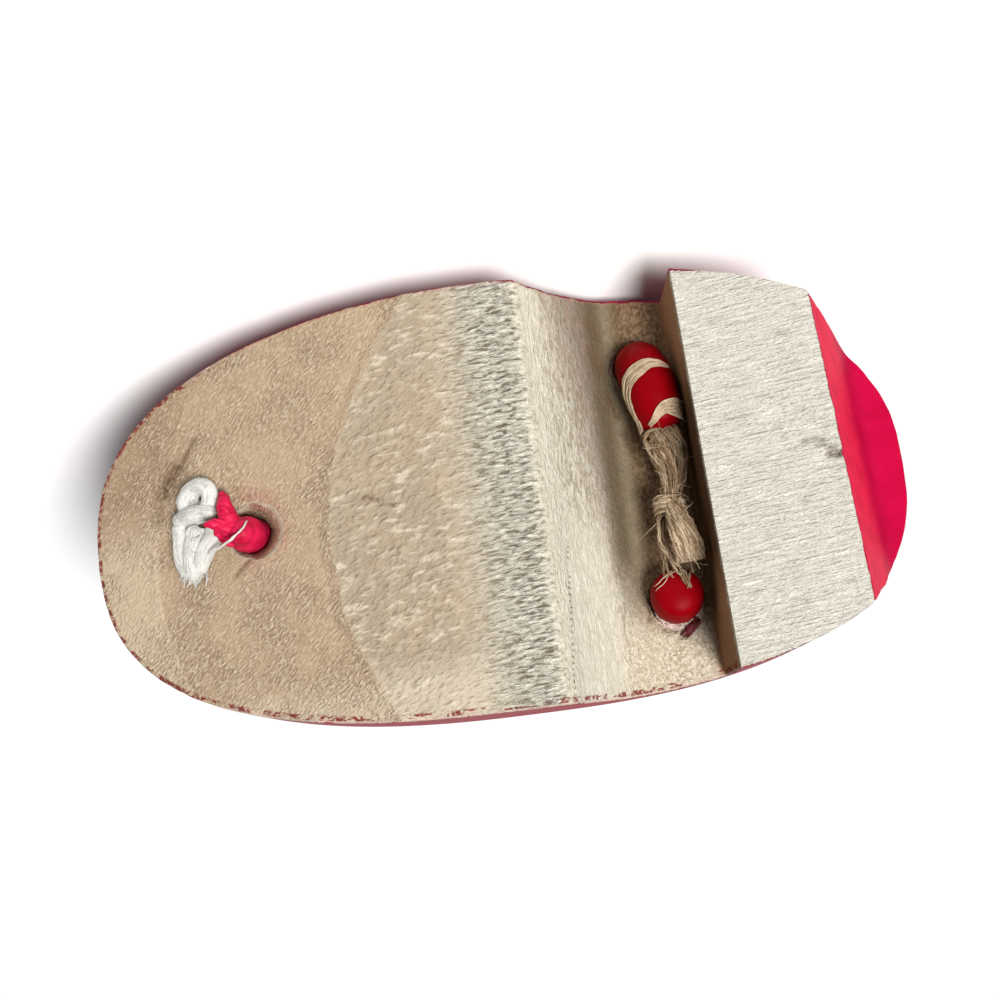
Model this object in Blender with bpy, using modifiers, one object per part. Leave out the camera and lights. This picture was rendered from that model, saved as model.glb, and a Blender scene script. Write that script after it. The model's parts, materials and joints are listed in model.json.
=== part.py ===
"""A child's slant-toed geta lying on its left side, as separate solids.

The shoe is modelled standing: +X to the toe, +Y to its left, +Z up, with the tread at z = 0 and the widest
place of the deck at x = 0. An empty then lays the whole shoe on its left side, on the deck's edge and the
left arm of the strap. Sizes are in millimetres here, and MM turns them into metres.
"""

import math
from collections import namedtuple

import bmesh
import bpy
import numpy as np
from mathutils import Matrix, Vector

MM = 0.001
GAP = 0.35

# Wooden base: plan
TOE_REACH = 81.5
HEEL_REACH = 78.5
HALF_WIDTH = 40.0
FULLNESS = 2.55
OUTLINE_POINTS = 88

# Wooden base: side
HEIGHT = 32.0
RIM_ROUND = 2.4
TOE_LIFT = 20.0
SLANT_START = 12.0
SLANT_POWER = 1.25
RIDGE_X = -3.7
RIDGE_RUN = 2.6
RIDGE_DROP = 1.8
RIDGE_LEAD = 0.9
RIDGE_LEAD_DROP = 0.3
RIDGE_CURVE = ((0.35, 0.14), (0.75, 0.5))
COVE_END_X = -24.0
COVE_POWER = 1.6
COVE_TOP = 21.3
COVE_FLAT = 3.6
SLOT_TOP = 21.5
HEEL_FRONT_X = -36.0
HEEL_FRONT_SKEW = 1.8
HEEL_BACK_X = -61.5
HEEL_BACK_SKEW = 3.1
HEEL_BACK_LEAD = 0.5
HEEL_BACK_RUN = 8.8
HEEL_BACK_RISE = 22.0
HEEL_FILLET_RUN = 0.9
HEEL_FILLET_RISE = 2.6
OVERHANG_START_X = -73.2
OVERHANG_TOP = 26.4
CURVE_STEPS = 9
BEYOND = 12.0

# Holes: bore, easing at the deck, and the flare where each comes out below
FRONT_HOLE_X = 49.5
FRONT_BORE = 3.7
FRONT_FLARE = 5.3
FRONT_FLARE_DEPTH = 2.2
LEFT_HOLE_X = -28.6
LEFT_HOLE_Y = 25.0
RIGHT_HOLE_X = -29.4
RIGHT_HOLE_Y = -21.9
REAR_BORE = 4.75
REAR_FLARE = 6.0
REAR_FLARE_DEPTH = 1.4
HOLE_EASE = 1.0
HOLE_OVERSHOOT = 2.0
HOLE_SIDES = 20

# Strap
STRAP_SIDES = 14
STRAP_STEPS = 2
STRAP_DOME = 0.55
APEX_WIDTH = 7.4
APEX_THICK = 6.4
APEX_HEIGHT = 11.0
DOME_ANGLES = (30.0, 55.0, 75.0)

# Strap ends below the deck, from the hole on: place, distance below the deck's underside, diameter, and the
# lean of the section in degrees. The left end bends over to the middle, and the right one ends in a ball.
EndRow = namedtuple("EndRow", "x y under_deck size lean")
LEFT_END_ROWS = (
    EndRow(-28.6, 25.0, 0.0, 8.6, 90.0),
    EndRow(-28.6, 24.4, 2.9, 9.6, 112.0),
    EndRow(-28.9, 22.6, 5.5, 10.0, 135.0),
    EndRow(-29.5, 19.8, 7.0, 10.0, 158.0),
    EndRow(-30.0, 16.8, 7.5, 9.8, 175.0),
    EndRow(-30.4, 14.0, 7.6, 9.2, 180.0),
    EndRow(-30.6, 12.4, 7.6, 8.6, 180.0),
)
RIGHT_END_ROWS = (
    EndRow(-29.4, -21.9, 0.0, 8.6, -90.0),
    EndRow(-29.4, -21.8, 2.3, 9.8, -90.0),
    EndRow(-29.4, -21.6, 4.7, 10.4, -92.0),
    EndRow(-29.5, -21.2, 6.9, 9.6, -96.0),
)

# One arm of the strap, from just over the deck to the front: place, height over the deck, width, thickness,
# how far its outer face leans out from straight up, in degrees, and how much nearer the middle the right arm is.
ArmRow = namedtuple("ArmRow", "x y over_deck width thick lean right_in")
ARM_ROWS = (
    ArmRow(-26.4, 25.6, 5.6, 10.2, 8.2, 84.0, 1.9),
    ArmRow(-22.0, 26.8, 13.0, 12.4, 7.6, 74.0, 0.9),
    ArmRow(-12.0, 27.2, 20.2, 13.6, 7.2, 60.0, 0.3),
    ArmRow(2.0, 25.8, 23.6, 14.0, 7.0, 50.0, 0.0),
    ArmRow(17.0, 21.2, 21.8, 13.4, 7.0, 42.0, 0.0),
    ArmRow(31.0, 14.8, 17.2, 11.4, 7.0, 32.0, 0.0),
    ArmRow(42.2, 9.2, 13.0, 8.8, 6.8, 18.0, 0.0),
    ArmRow(48.0, 5.0, 11.3, 7.8, 6.5, 6.0, 0.0),
)

# Toe loop
LOOP_WALL = 1.9
LOOP_WIDTH = 5.2
LOOP_SQUARENESS = 0.7
LOOP_SLACK_ALONG = 1.0
LOOP_SLACK_UP = 0.4
LOOP_STEPS = 24
LOOP_SIDES = 10
POST_RADIUS = 3.3
POST_BITE = 0.7
POST_TAPER = 3.0
TAIL_RADIUS = 2.8
TAIL_BEND = 4.8
TAIL_BEND_STEPS = 4
TAIL_TURN = 80.0
TAIL_DOME = 1.6
TAIL_SIDES = 14

# White toe knot: lumps of cord on the slanted forefoot, with their half sizes along, across and out.
KnotLump = namedtuple("KnotLump", "x y along across out")
KNOT_LUMPS = (
    KnotLump(58.3, 8.4, 4.2, 4.2, 3.1),
    KnotLump(59.9, 1.9, 4.4, 5.2, 3.4),
    KnotLump(61.2, -4.7, 4.4, 4.3, 3.2),
)
KNOT_LIFT = 0.45
KNOT_ROUND = 16
KNOT_BANDS = 10

# Hemp lashing under the deck: place, distance below the deck's underside, width and thickness.
HempRow = namedtuple("HempRow", "x y under_deck width thick")
LASHING_ROWS = (
    HempRow(-31.0, 9.0, 7.0, 4.2, 3.4),
    HempRow(-31.0, 7.6, 7.0, 7.2, 4.6),
    HempRow(-31.6, 3.6, 7.0, 6.6, 4.8),
    HempRow(-30.6, -1.6, 6.8, 5.0, 4.2),
    HempRow(-30.2, -5.0, 7.0, 6.6, 6.2),
    HempRow(-29.6, -9.2, 6.6, 4.6, 4.0),
    HempRow(-29.4, -12.8, 6.2, 5.0, 3.8),
    HempRow(-29.4, -15.1, 5.8, 3.6, 3.0),
)
TUFT_ROWS = (
    HempRow(-31.2, -9.0, 10.4, 2.6, 2.2),
    HempRow(-31.8, -11.0, 11.2, 4.6, 3.0),
    HempRow(-32.3, -13.4, 11.8, 5.8, 3.2),
    HempRow(-32.6, -16.4, 12.2, 6.6, 2.8),
)
HEMP_STEPS = 2
HEMP_SIDES = 12

# Weight in grams a cubic centimetre, for the balance of the shoe on its side.
WOOD = 0.36
CLOTH = 0.30
HEMP = 0.50

# How far the direction of the resting side must point to the left and up to count as the strap's side.
LEAST_LEFT = 0.6
LEAST_UP = 0.1

PARTS_NAME = "geta"
CUTTERS_NAME = "geta_cutters"


def clear_scene():
    for old in list(bpy.data.objects):
        bpy.data.objects.remove(old, do_unlink=True)


def new_collection(name):
    collection = bpy.data.collections.new(name)
    bpy.context.scene.collection.children.link(collection)
    return collection


def new_material(name, colour, roughness, coat=0.0):
    material = bpy.data.materials.new(name)
    material.use_nodes = True
    shader = material.node_tree.nodes["Principled BSDF"]
    shader.inputs["Base Color"].default_value = (*colour, 1.0)
    shader.inputs["Roughness"].default_value = roughness
    shader.inputs["Metallic"].default_value = 0.0
    shader.inputs["Coat Weight"].default_value = coat
    return material


def add_mesh_object(name, mesh, collection, material=None):
    thing = bpy.data.objects.new(name, mesh)
    collection.objects.link(thing)
    if material is not None:
        mesh.materials.append(material)
    return thing


def mesh_from_curve(name, curve):
    """The mesh of a filled and bevelled curve, with its caps welded on."""
    holder = bpy.data.objects.new(name, curve)
    bpy.context.scene.collection.objects.link(holder)
    bpy.context.view_layer.update()
    graph = bpy.context.evaluated_depsgraph_get()
    mesh = bpy.data.meshes.new_from_object(holder.evaluated_get(graph))
    bpy.data.objects.remove(holder, do_unlink=True)
    bpy.data.curves.remove(curve)
    work = bmesh.new()
    work.from_mesh(mesh)
    bmesh.ops.remove_doubles(work, verts=work.verts, dist=0.00001)
    bmesh.ops.recalc_face_normals(work, faces=work.faces)
    work.to_mesh(mesh)
    work.free()
    return mesh


def flat_outline(name, points, depth, rim=0.0):
    """A closed outline in X and Y, filled and thickened to depth, with its edges rounded by rim."""
    curve = bpy.data.curves.new(name, "CURVE")
    curve.dimensions = "2D"
    curve.fill_mode = "BOTH"
    curve.extrude = (depth / 2 - rim) * MM
    curve.bevel_depth = rim * MM
    curve.bevel_resolution = 1
    curve.offset = -rim * MM
    spline = curve.splines.new("POLY")
    spline.points.add(len(points) - 1)
    for point, (x, y) in zip(spline.points, points):
        point.co = (x * MM, y * MM, 0.0, 1.0)
    spline.use_cyclic_u = True
    return mesh_from_curve(name, curve)


def shade_round(mesh, degrees=40.0):
    mesh.shade_smooth()
    mesh.set_sharp_from_angle(angle=math.radians(degrees))


# Paths and lofts


def smooth_rows(rows, steps):
    """Catmull-Rom rows through the given rows, with steps new rows for each old one."""
    table = np.array(rows, dtype=float)
    padded = np.vstack((2 * table[0] - table[1], table, 2 * table[-1] - table[-2]))
    result = []
    for index in range(1, len(padded) - 2):
        before, start, end, after = padded[index - 1:index + 3]
        for step in range(steps):
            s = step / steps
            result.append(0.5 * (
                2 * start
                + (end - before) * s
                + (2 * before - 5 * start + 4 * end - after) * s ** 2
                + (3 * start - before - 3 * end + after) * s ** 3
            ))
    result.append(table[-1])
    return np.array(result)


def oval_rings(rows, sides):
    """Oval sections along rows of x, y, z, width, thickness and lean."""
    places = rows[:, :3]
    tangents = np.gradient(places, axis=0)
    tangents /= np.linalg.norm(tangents, axis=1)[:, None]
    angles = np.linspace(0.0, 2 * math.pi, sides, endpoint=False)
    rings = []
    for place, tangent, (width, thick, lean) in zip(places, tangents, rows[:, 3:6]):
        out = np.array((0.0, math.sin(math.radians(lean)), math.cos(math.radians(lean))))
        out -= tangent * out.dot(tangent)
        out /= np.linalg.norm(out)
        across = np.cross(tangent, out)
        rings.append([
            place + across * width / 2 * math.cos(a) + out * thick / 2 * math.sin(a) for a in angles
        ])
    return rings


def loft(name, rings, closed=False):
    """A skin through rings of equal length, capped at both ends or run round to the first ring."""
    work = bmesh.new()
    loops = [[work.verts.new(Vector(point) * MM) for point in ring] for ring in rings]
    pairs = list(zip(loops, loops[1:]))
    if closed:
        pairs.append((loops[-1], loops[0]))
    for lower, upper in pairs:
        for index in range(len(lower)):
            following = (index + 1) % len(lower)
            work.faces.new((lower[index], lower[following], upper[following], upper[index]))
    if not closed:
        work.faces.new(loops[0])
        work.faces.new(loops[-1])
    bmesh.ops.recalc_face_normals(work, faces=work.faces)
    mesh = bpy.data.meshes.new(name)
    work.to_mesh(mesh)
    work.free()
    shade_round(mesh)
    return mesh


def dome_rows(row, direction, length):
    """Rows that close a round end with a dome of the given length along direction."""
    row = np.array(row, dtype=float)
    rows = []
    for angle in DOME_ANGLES:
        new = row.copy()
        new[:3] += np.array(direction) * length * math.sin(math.radians(angle))
        new[3:5] *= math.cos(math.radians(angle))
        rows.append(new)
    return rows


# Wooden base


def plan_outline():
    """The oval of the deck: two halves of one fullness that meet at the widest place."""
    points = []
    for index in range(OUTLINE_POINTS):
        angle = 2 * math.pi * (index + 0.5) / OUTLINE_POINTS
        c, s = math.cos(angle), math.sin(angle)
        reach = TOE_REACH if c > 0 else HEEL_REACH
        x = math.copysign(reach * abs(c) ** (2 / FULLNESS), c)
        y = math.copysign(HALF_WIDTH * abs(s) ** (2 / FULLNESS), s)
        points.append((x, y))
    return points


def slant_height(x):
    """Height of the slanted forefoot over the tread."""
    along = max(x - SLANT_START, 0.0) / (TOE_REACH - SLANT_START)
    return TOE_LIFT * along ** SLANT_POWER


def cove_height(x):
    """Height of the cove over the tread, from the ridge to the slot."""
    start = RIDGE_X - RIDGE_RUN
    along = min(max((start - x) / (start - COVE_END_X), 0.0), 1.0)
    return RIDGE_DROP + (COVE_TOP - RIDGE_DROP) * (1 - (1 - along) ** COVE_POWER)


def slant_profile():
    end = TOE_REACH + BEYOND
    curve = [(x, slant_height(x)) for x in np.linspace(SLANT_START, end, CURVE_STEPS)]
    return curve + [(end, -BEYOND), (SLANT_START, -BEYOND)]


def cove_profile():
    start = RIDGE_X - RIDGE_RUN
    lead = RIDGE_X + RIDGE_LEAD
    end = COVE_END_X - COVE_FLAT
    ridge = [(RIDGE_X - run * RIDGE_RUN, drop * RIDGE_DROP) for run, drop in RIDGE_CURVE]
    curve = [(x, cove_height(x)) for x in np.linspace(start, COVE_END_X, CURVE_STEPS)]
    return [
        (end, -BEYOND),
        (lead, -BEYOND),
        (lead, -RIDGE_LEAD_DROP),
        *ridge,
        *curve,
        (end, COVE_TOP),
    ]


def slot_profile():
    return [
        (HEEL_FRONT_X, -BEYOND),
        (COVE_END_X - COVE_FLAT / 2, -BEYOND),
        (COVE_END_X - COVE_FLAT / 2, SLOT_TOP),
        (HEEL_FRONT_X, SLOT_TOP),
    ]


def heel_back_profile():
    """Steep back of the heel, a fillet, and the thin rim of the deck that hangs over it."""
    end = -HEEL_REACH - BEYOND
    lead = HEEL_BACK_X + HEEL_BACK_LEAD
    steep_end = HEEL_BACK_X - HEEL_BACK_RUN
    return [
        (lead, -BEYOND),
        (lead, -HEEL_BACK_LEAD * HEEL_BACK_RISE / HEEL_BACK_RUN),
        (steep_end, HEEL_BACK_RISE),
        (steep_end - HEEL_FILLET_RUN, HEEL_BACK_RISE + HEEL_FILLET_RISE),
        (OVERHANG_START_X, OVERHANG_TOP),
        (end, OVERHANG_TOP),
        (end, -BEYOND),
    ]


def cross_cut(name, profile, collection, pivot_x=0.0, skew=0.0):
    """A cutter of one side profile that runs right across the base, turned a little about a pivot."""
    shifted = [(x - pivot_x, z) for x, z in profile]
    mesh = flat_outline(name, shifted, 2 * HALF_WIDTH + 2 * BEYOND)
    cutter = add_mesh_object(name, mesh, collection)
    cutter.location = (pivot_x * MM, 0.0, 0.0)
    cutter.rotation_euler = (math.radians(90.0), 0.0, math.radians(-skew))
    return cutter


def hole_cutter(name, profile, place, collection):
    """A turned cutter: radius and height pairs from the top down, spun about the hole's own axis."""
    mesh = bpy.data.meshes.new(name)
    work = bmesh.new()
    points = [work.verts.new((radius * MM, 0.0, z * MM)) for radius, z in profile]
    for first, second in zip(points, points[1:]):
        work.edges.new((first, second))
    work.to_mesh(mesh)
    work.free()
    cutter = add_mesh_object(name, mesh, collection)
    cutter.location = (place[0] * MM, place[1] * MM, 0.0)
    spin = cutter.modifiers.new("spin", "SCREW")
    spin.steps = HOLE_SIDES
    spin.render_steps = HOLE_SIDES
    spin.use_merge_vertices = True
    spin.merge_threshold = 0.00001
    return cutter


def hole_profile(bore, exit_height, flare, flare_depth):
    """Radius and height pairs of a hole that is eased at the deck and flared where it comes out."""
    slope = (flare - bore) / flare_depth
    top = HEIGHT + HOLE_OVERSHOOT
    bottom = exit_height - HOLE_OVERSHOOT
    return [
        (0.0, top),
        (bore + HOLE_EASE + HOLE_OVERSHOOT, top),
        (bore, HEIGHT - HOLE_EASE),
        (bore, exit_height + flare_depth),
        (flare + slope * HOLE_OVERSHOOT, bottom),
        (0.0, bottom),
    ]


def base_cutters(collection):
    """Everything that is sawn or drilled from the block."""
    reach = TOE_REACH + BEYOND
    tread = [(-reach, -BEYOND), (reach, -BEYOND), (reach, 0.0), (-reach, 0.0)]
    front_hole = hole_profile(FRONT_BORE, slant_height(FRONT_HOLE_X), FRONT_FLARE, FRONT_FLARE_DEPTH)
    rear_hole = hole_profile(REAR_BORE, SLOT_TOP, REAR_FLARE, REAR_FLARE_DEPTH)
    return [
        cross_cut("tread_cut", tread, collection),
        cross_cut("slant_cut", slant_profile(), collection),
        cross_cut("cove_cut", cove_profile(), collection),
        cross_cut("slot_cut", slot_profile(), collection, HEEL_FRONT_X, HEEL_FRONT_SKEW),
        cross_cut("heel_back_cut", heel_back_profile(), collection, HEEL_BACK_X, HEEL_BACK_SKEW),
        hole_cutter("front_hole", front_hole, (FRONT_HOLE_X, 0.0), collection),
        hole_cutter("left_hole", rear_hole, (LEFT_HOLE_X, LEFT_HOLE_Y), collection),
        hole_cutter("right_hole", rear_hole, (RIGHT_HOLE_X, RIGHT_HOLE_Y), collection),
    ]


def make_base(parts, cutters_collection, material):
    depth = HEIGHT + BEYOND / 2
    mesh = flat_outline("dai", plan_outline(), depth, RIM_ROUND)
    mesh.transform(Matrix.Translation((0.0, 0.0, (HEIGHT - depth / 2) * MM)))
    base = add_mesh_object("dai", mesh, parts, material)
    cutters = base_cutters(cutters_collection)
    for cutter in cutters:
        cutter.hide_render = True
        cutter.display_type = "WIRE"
        cut = base.modifiers.new(cutter.name, "BOOLEAN")
        cut.operation = "DIFFERENCE"
        cut.solver = "EXACT"
        cut.object = cutter
    return base, cutters


# Strap


def strap_end_rows(end_rows):
    """Rows of one strap end, from its domed tip in the cove back up through the deck."""
    rows = [(row.x, row.y, SLOT_TOP - row.under_deck, row.size, row.size, row.lean) for row in end_rows]
    x, y, z, *section = rows[0]
    deck = HEIGHT - SLOT_TOP
    rows = [(x, y, z + up, *section) for up in (deck, deck / 2)] + rows
    ahead = np.array(rows[-1][:3]) - np.array(rows[-2][:3])
    ahead /= np.linalg.norm(ahead)
    rows.extend(tuple(row) for row in dome_rows(rows[-1], ahead, STRAP_DOME * rows[-1][3] / 2))
    return rows[::-1]


def arm_rows(side):
    rows = []
    for row in ARM_ROWS:
        inward = row.right_in if side < 0 else 0.0
        y = side * (row.y - inward)
        rows.append((row.x, y, HEIGHT + row.over_deck, row.width, row.thick, side * row.lean))
    return rows


def make_strap(parts, material):
    left_end = strap_end_rows(LEFT_END_ROWS)
    right_end = strap_end_rows(RIGHT_END_ROWS)
    apex = (FRONT_HOLE_X, 0.0, HEIGHT + APEX_HEIGHT, APEX_WIDTH, APEX_THICK, 0.0)
    rows = left_end + arm_rows(1) + [apex] + arm_rows(-1)[::-1] + right_end[::-1]
    mesh = loft("hanao_strap", oval_rings(smooth_rows(rows, STRAP_STEPS), STRAP_SIDES))
    return add_mesh_object("hanao_strap", mesh, parts, material)


def join_into(base, others):
    """Union the other objects into the base, and remove them."""
    for other in others:
        union = base.modifiers.new(other.name, "BOOLEAN")
        union.operation = "UNION"
        union.solver = "EXACT"
        union.object = other
    bpy.context.view_layer.update()
    graph = bpy.context.evaluated_depsgraph_get()
    mesh = bpy.data.meshes.new_from_object(base.evaluated_get(graph))
    base.modifiers.clear()
    old_mesh = base.data
    base.data = mesh
    bpy.data.meshes.remove(old_mesh)
    for other in others:
        bpy.data.objects.remove(other, do_unlink=True)
    shade_round(mesh)


# Toe loop


def squared(share):
    """Pushes the sine or cosine of a round section out towards a box."""
    return math.copysign(abs(share) ** LOOP_SQUARENESS, share)


def loop_mesh():
    """A soft band round the front of the strap: an oval path with a rounded, flat section."""
    half_long = APEX_WIDTH / 2 + GAP + LOOP_SLACK_ALONG + LOOP_WALL / 2
    half_high = APEX_THICK / 2 + GAP + LOOP_SLACK_UP + LOOP_WALL / 2
    centre_z = HEIGHT + APEX_HEIGHT
    rings = []
    for angle in np.linspace(0.0, 2 * math.pi, LOOP_STEPS, endpoint=False):
        c, s = math.cos(angle), math.sin(angle)
        middle = np.array((FRONT_HOLE_X + half_long * c, 0.0, centre_z + half_high * s))
        out = np.array((c / half_long, 0.0, s / half_high))
        out /= np.linalg.norm(out)
        ring = []
        for turn in np.linspace(0.0, 2 * math.pi, LOOP_SIDES, endpoint=False):
            across = LOOP_WIDTH / 2 * squared(math.cos(turn))
            wall = LOOP_WALL / 2 * squared(math.sin(turn))
            ring.append(middle + out * wall + np.array((0.0, across, 0.0)))
        rings.append(ring)
    return loft("maetsubo_post", rings, closed=True)


def tail_mesh():
    """The doubled cloth below the loop: down through the hole, then bent over towards the toe."""
    exit_height = slant_height(FRONT_HOLE_X)
    top = HEIGHT + APEX_HEIGHT - APEX_THICK / 2 - GAP - LOOP_SLACK_UP - LOOP_WALL * POST_BITE
    rows = [
        (FRONT_HOLE_X, 0.0, top, POST_RADIUS, POST_RADIUS),
        (FRONT_HOLE_X, 0.0, (HEIGHT + top) / 2, POST_RADIUS, POST_RADIUS),
        (FRONT_HOLE_X, 0.0, HEIGHT, POST_RADIUS, POST_RADIUS),
        (FRONT_HOLE_X, 0.0, exit_height + POST_TAPER, POST_RADIUS, POST_RADIUS),
        (FRONT_HOLE_X, 0.0, exit_height, TAIL_RADIUS, TAIL_RADIUS),
    ]
    for angle in np.radians(np.linspace(0.0, TAIL_TURN, TAIL_BEND_STEPS + 1)[1:]):
        x = FRONT_HOLE_X + TAIL_BEND * (1 - math.cos(angle))
        z = exit_height - TAIL_BEND * math.sin(angle)
        rows.append((x, 0.0, z, TAIL_RADIUS, TAIL_RADIUS))
    end = math.radians(TAIL_TURN)
    rows.extend(dome_rows(rows[-1], (math.sin(end), 0.0, -math.cos(end)), TAIL_DOME))
    table = np.array(rows)
    tangents = np.gradient(table[:, :3], axis=0)
    across = np.array((0.0, 1.0, 0.0))
    rings = []
    for row, tangent in zip(table, tangents):
        out = np.cross(tangent / np.linalg.norm(tangent), across)
        rings.append([
            row[:3] + row[3] * (across * math.cos(turn) + out * math.sin(turn))
            for turn in np.linspace(0.0, 2 * math.pi, TAIL_SIDES, endpoint=False)
        ])
    return loft("maetsubo_tail", rings)


def make_toe_loop(parts, material):
    loop = add_mesh_object("maetsubo_post", loop_mesh(), parts, material)
    tail = add_mesh_object("maetsubo_tail", tail_mesh(), parts, material)
    join_into(loop, [tail])
    return loop


# Cords


def knot_lump(name, lump, parts, material):
    """One swollen turn of cord, an oval ball lying against the slanted forefoot."""
    step = 1.0
    slope = math.atan2(slant_height(lump.x + step) - slant_height(lump.x - step), 2 * step)
    mesh = bpy.data.meshes.new(name)
    work = bmesh.new()
    bmesh.ops.create_uvsphere(work, u_segments=KNOT_ROUND, v_segments=KNOT_BANDS, radius=1.0)
    work.to_mesh(mesh)
    work.free()
    size = Matrix.Diagonal((lump.along * MM, lump.across * MM, lump.out * MM, 1.0))
    tilt = Matrix.Rotation(-slope, 4, "Y")
    lift = Vector((math.sin(slope), 0.0, -math.cos(slope))) * (lump.out + KNOT_LIFT)
    place = Matrix.Translation((Vector((lump.x, lump.y, slant_height(lump.x))) + lift) * MM)
    mesh.transform(place @ tilt @ size)
    return add_mesh_object(name, mesh, parts, material)


def make_toe_knot(parts, material):
    lumps = [knot_lump(f"toe_lump_{i}", row, parts, material) for i, row in enumerate(KNOT_LUMPS)]
    knot = lumps[1]
    knot.name = "toe_knot"
    join_into(knot, [lumps[0], lumps[2]])
    return knot


def make_hemp(name, hemp_rows, parts, material):
    """A bundle of hemp strands with the swellings that its rows give."""
    rows = [(row.x, row.y, SLOT_TOP - row.under_deck, row.width, row.thick, 180.0) for row in hemp_rows]
    mesh = loft(name, oval_rings(smooth_rows(rows, HEMP_STEPS), HEMP_SIDES))
    return add_mesh_object(name, mesh, parts, material)


# Lying pose


def shoe_points(thing):
    """Corners and triangles of an object as it is modelled, in metres, before the shoe is laid down."""
    graph = bpy.context.evaluated_depsgraph_get()
    mesh = bpy.data.meshes.new_from_object(thing.evaluated_get(graph))
    mesh.calc_loop_triangles()
    points = np.array([thing.matrix_world @ vertex.co for vertex in mesh.vertices])
    triangles = np.array([triangle.vertices for triangle in mesh.loop_triangles])
    bpy.data.meshes.remove(mesh)
    return points, triangles


def volume_and_centre(points, triangles):
    a, b, c = (points[triangles[:, i]] for i in range(3))
    volumes = np.einsum("ij,ij->i", a, np.cross(b, c)) / 6
    centre = (volumes[:, None] * (a + b + c) / 4).sum(axis=0) / volumes.sum()
    return volumes.sum(), centre


def resting_side(points, balance):
    """Outward direction of the left side's hull face that lies nearest to the balance point."""
    work = bmesh.new()
    for point in points:
        work.verts.new(point)
    bmesh.ops.convex_hull(work, input=work.verts)
    best = None
    for face in work.faces:
        normal = face.normal.copy()
        away = (face.verts[0].co - balance).dot(normal)
        if away < 0:
            normal.negate()
            away = -away
        if normal.y > LEAST_LEFT and normal.z > LEAST_UP and (best is None or away < best[0]):
            best = (away, normal)
    work.free()
    return best[1]


def lay_down(things, cutters, densities):
    """Parent everything to an empty that turns the resting side down, with the box's floor at z = 0."""
    bpy.context.view_layer.update()
    clouds = []
    weight = 0.0
    moment = Vector((0.0, 0.0, 0.0))
    for thing in things:
        points, triangles = shoe_points(thing)
        volume, centre = volume_and_centre(points, triangles)
        clouds.append(points)
        weight += volume * densities[thing.name]
        moment += Vector(centre) * volume * densities[thing.name]
    points = np.vstack(clouds)
    down = resting_side(points, moment / weight)
    forward = Vector((1.0, 0.0, 0.0))
    forward = (forward - down * forward.dot(down)).normalized()
    side = (-down).cross(forward)
    turn = Matrix((forward, side, -down))
    turned = points @ np.array(turn).T
    low, high = turned.min(axis=0), turned.max(axis=0)
    shift = Vector((-(low[0] + high[0]) / 2, -(low[1] + high[1]) / 2, -low[2]))
    holder = bpy.data.objects.new("geta_on_its_side", None)
    bpy.data.collections[PARTS_NAME].objects.link(holder)
    holder.matrix_world = Matrix.Translation(shift) @ turn.to_4x4()
    for thing in [*things, *cutters]:
        thing.parent = holder


def main():
    clear_scene()
    parts = new_collection(PARTS_NAME)
    cutters_collection = new_collection(CUTTERS_NAME)
    wood = new_material("bare_wood", (0.52, 0.43, 0.31), 0.75)
    red_cloth = new_material("red_strap", (0.42, 0.005, 0.015), 0.35)
    red_tab = new_material("red_loop", (0.55, 0.02, 0.05), 0.55)
    white_cord = new_material("white_cord", (0.72, 0.70, 0.62), 0.85)
    hemp = new_material("hemp", (0.42, 0.31, 0.19), 0.85)

    base, cutters = make_base(parts, cutters_collection, wood)
    strap = make_strap(parts, red_cloth)
    loop = make_toe_loop(parts, red_tab)
    knot = make_toe_knot(parts, white_cord)
    lashing = make_hemp("heel_lashing", LASHING_ROWS, parts, hemp)
    tuft = make_hemp("lashing_tuft", TUFT_ROWS, parts, hemp)

    things = [base, strap, loop, knot, lashing, tuft]
    densities = {
        "dai": WOOD,
        "hanao_strap": CLOTH,
        "maetsubo_post": CLOTH,
        "toe_knot": HEMP,
        "heel_lashing": HEMP,
        "lashing_tuft": HEMP,
    }
    lay_down(things, cutters, densities)


main()
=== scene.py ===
"""Looks of a child's slant-toed geta that lies on its left side: finish of every piece, light and camera.

Pieces are modelled standing, in the shoe's own frame: +X to the toe, +Y to its left, +Z up, tread at z = 0,
in millimetres. The frame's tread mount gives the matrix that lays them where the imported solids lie.
"""

import json
import math
from types import SimpleNamespace

import bmesh
import bpy
import numpy as np
from mathutils import Matrix, Vector, noise


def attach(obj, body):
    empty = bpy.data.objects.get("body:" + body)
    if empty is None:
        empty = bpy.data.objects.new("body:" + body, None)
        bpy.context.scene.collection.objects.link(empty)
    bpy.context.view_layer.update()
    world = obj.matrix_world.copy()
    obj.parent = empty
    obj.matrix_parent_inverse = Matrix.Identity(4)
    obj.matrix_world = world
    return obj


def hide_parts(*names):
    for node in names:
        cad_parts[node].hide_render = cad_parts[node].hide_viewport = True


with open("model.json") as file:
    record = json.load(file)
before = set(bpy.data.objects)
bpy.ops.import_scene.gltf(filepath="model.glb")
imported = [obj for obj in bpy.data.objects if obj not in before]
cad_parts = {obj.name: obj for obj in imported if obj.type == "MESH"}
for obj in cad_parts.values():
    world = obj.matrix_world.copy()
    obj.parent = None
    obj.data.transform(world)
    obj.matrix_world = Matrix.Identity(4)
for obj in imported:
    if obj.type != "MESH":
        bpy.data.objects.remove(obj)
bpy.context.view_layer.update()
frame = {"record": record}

MM = 0.001
TINY = 1e-9
BODY = "root"

# The tread mount lies this far in front of the shoe's own origin.
TREAD_MOUNT_X = 4.0

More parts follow.
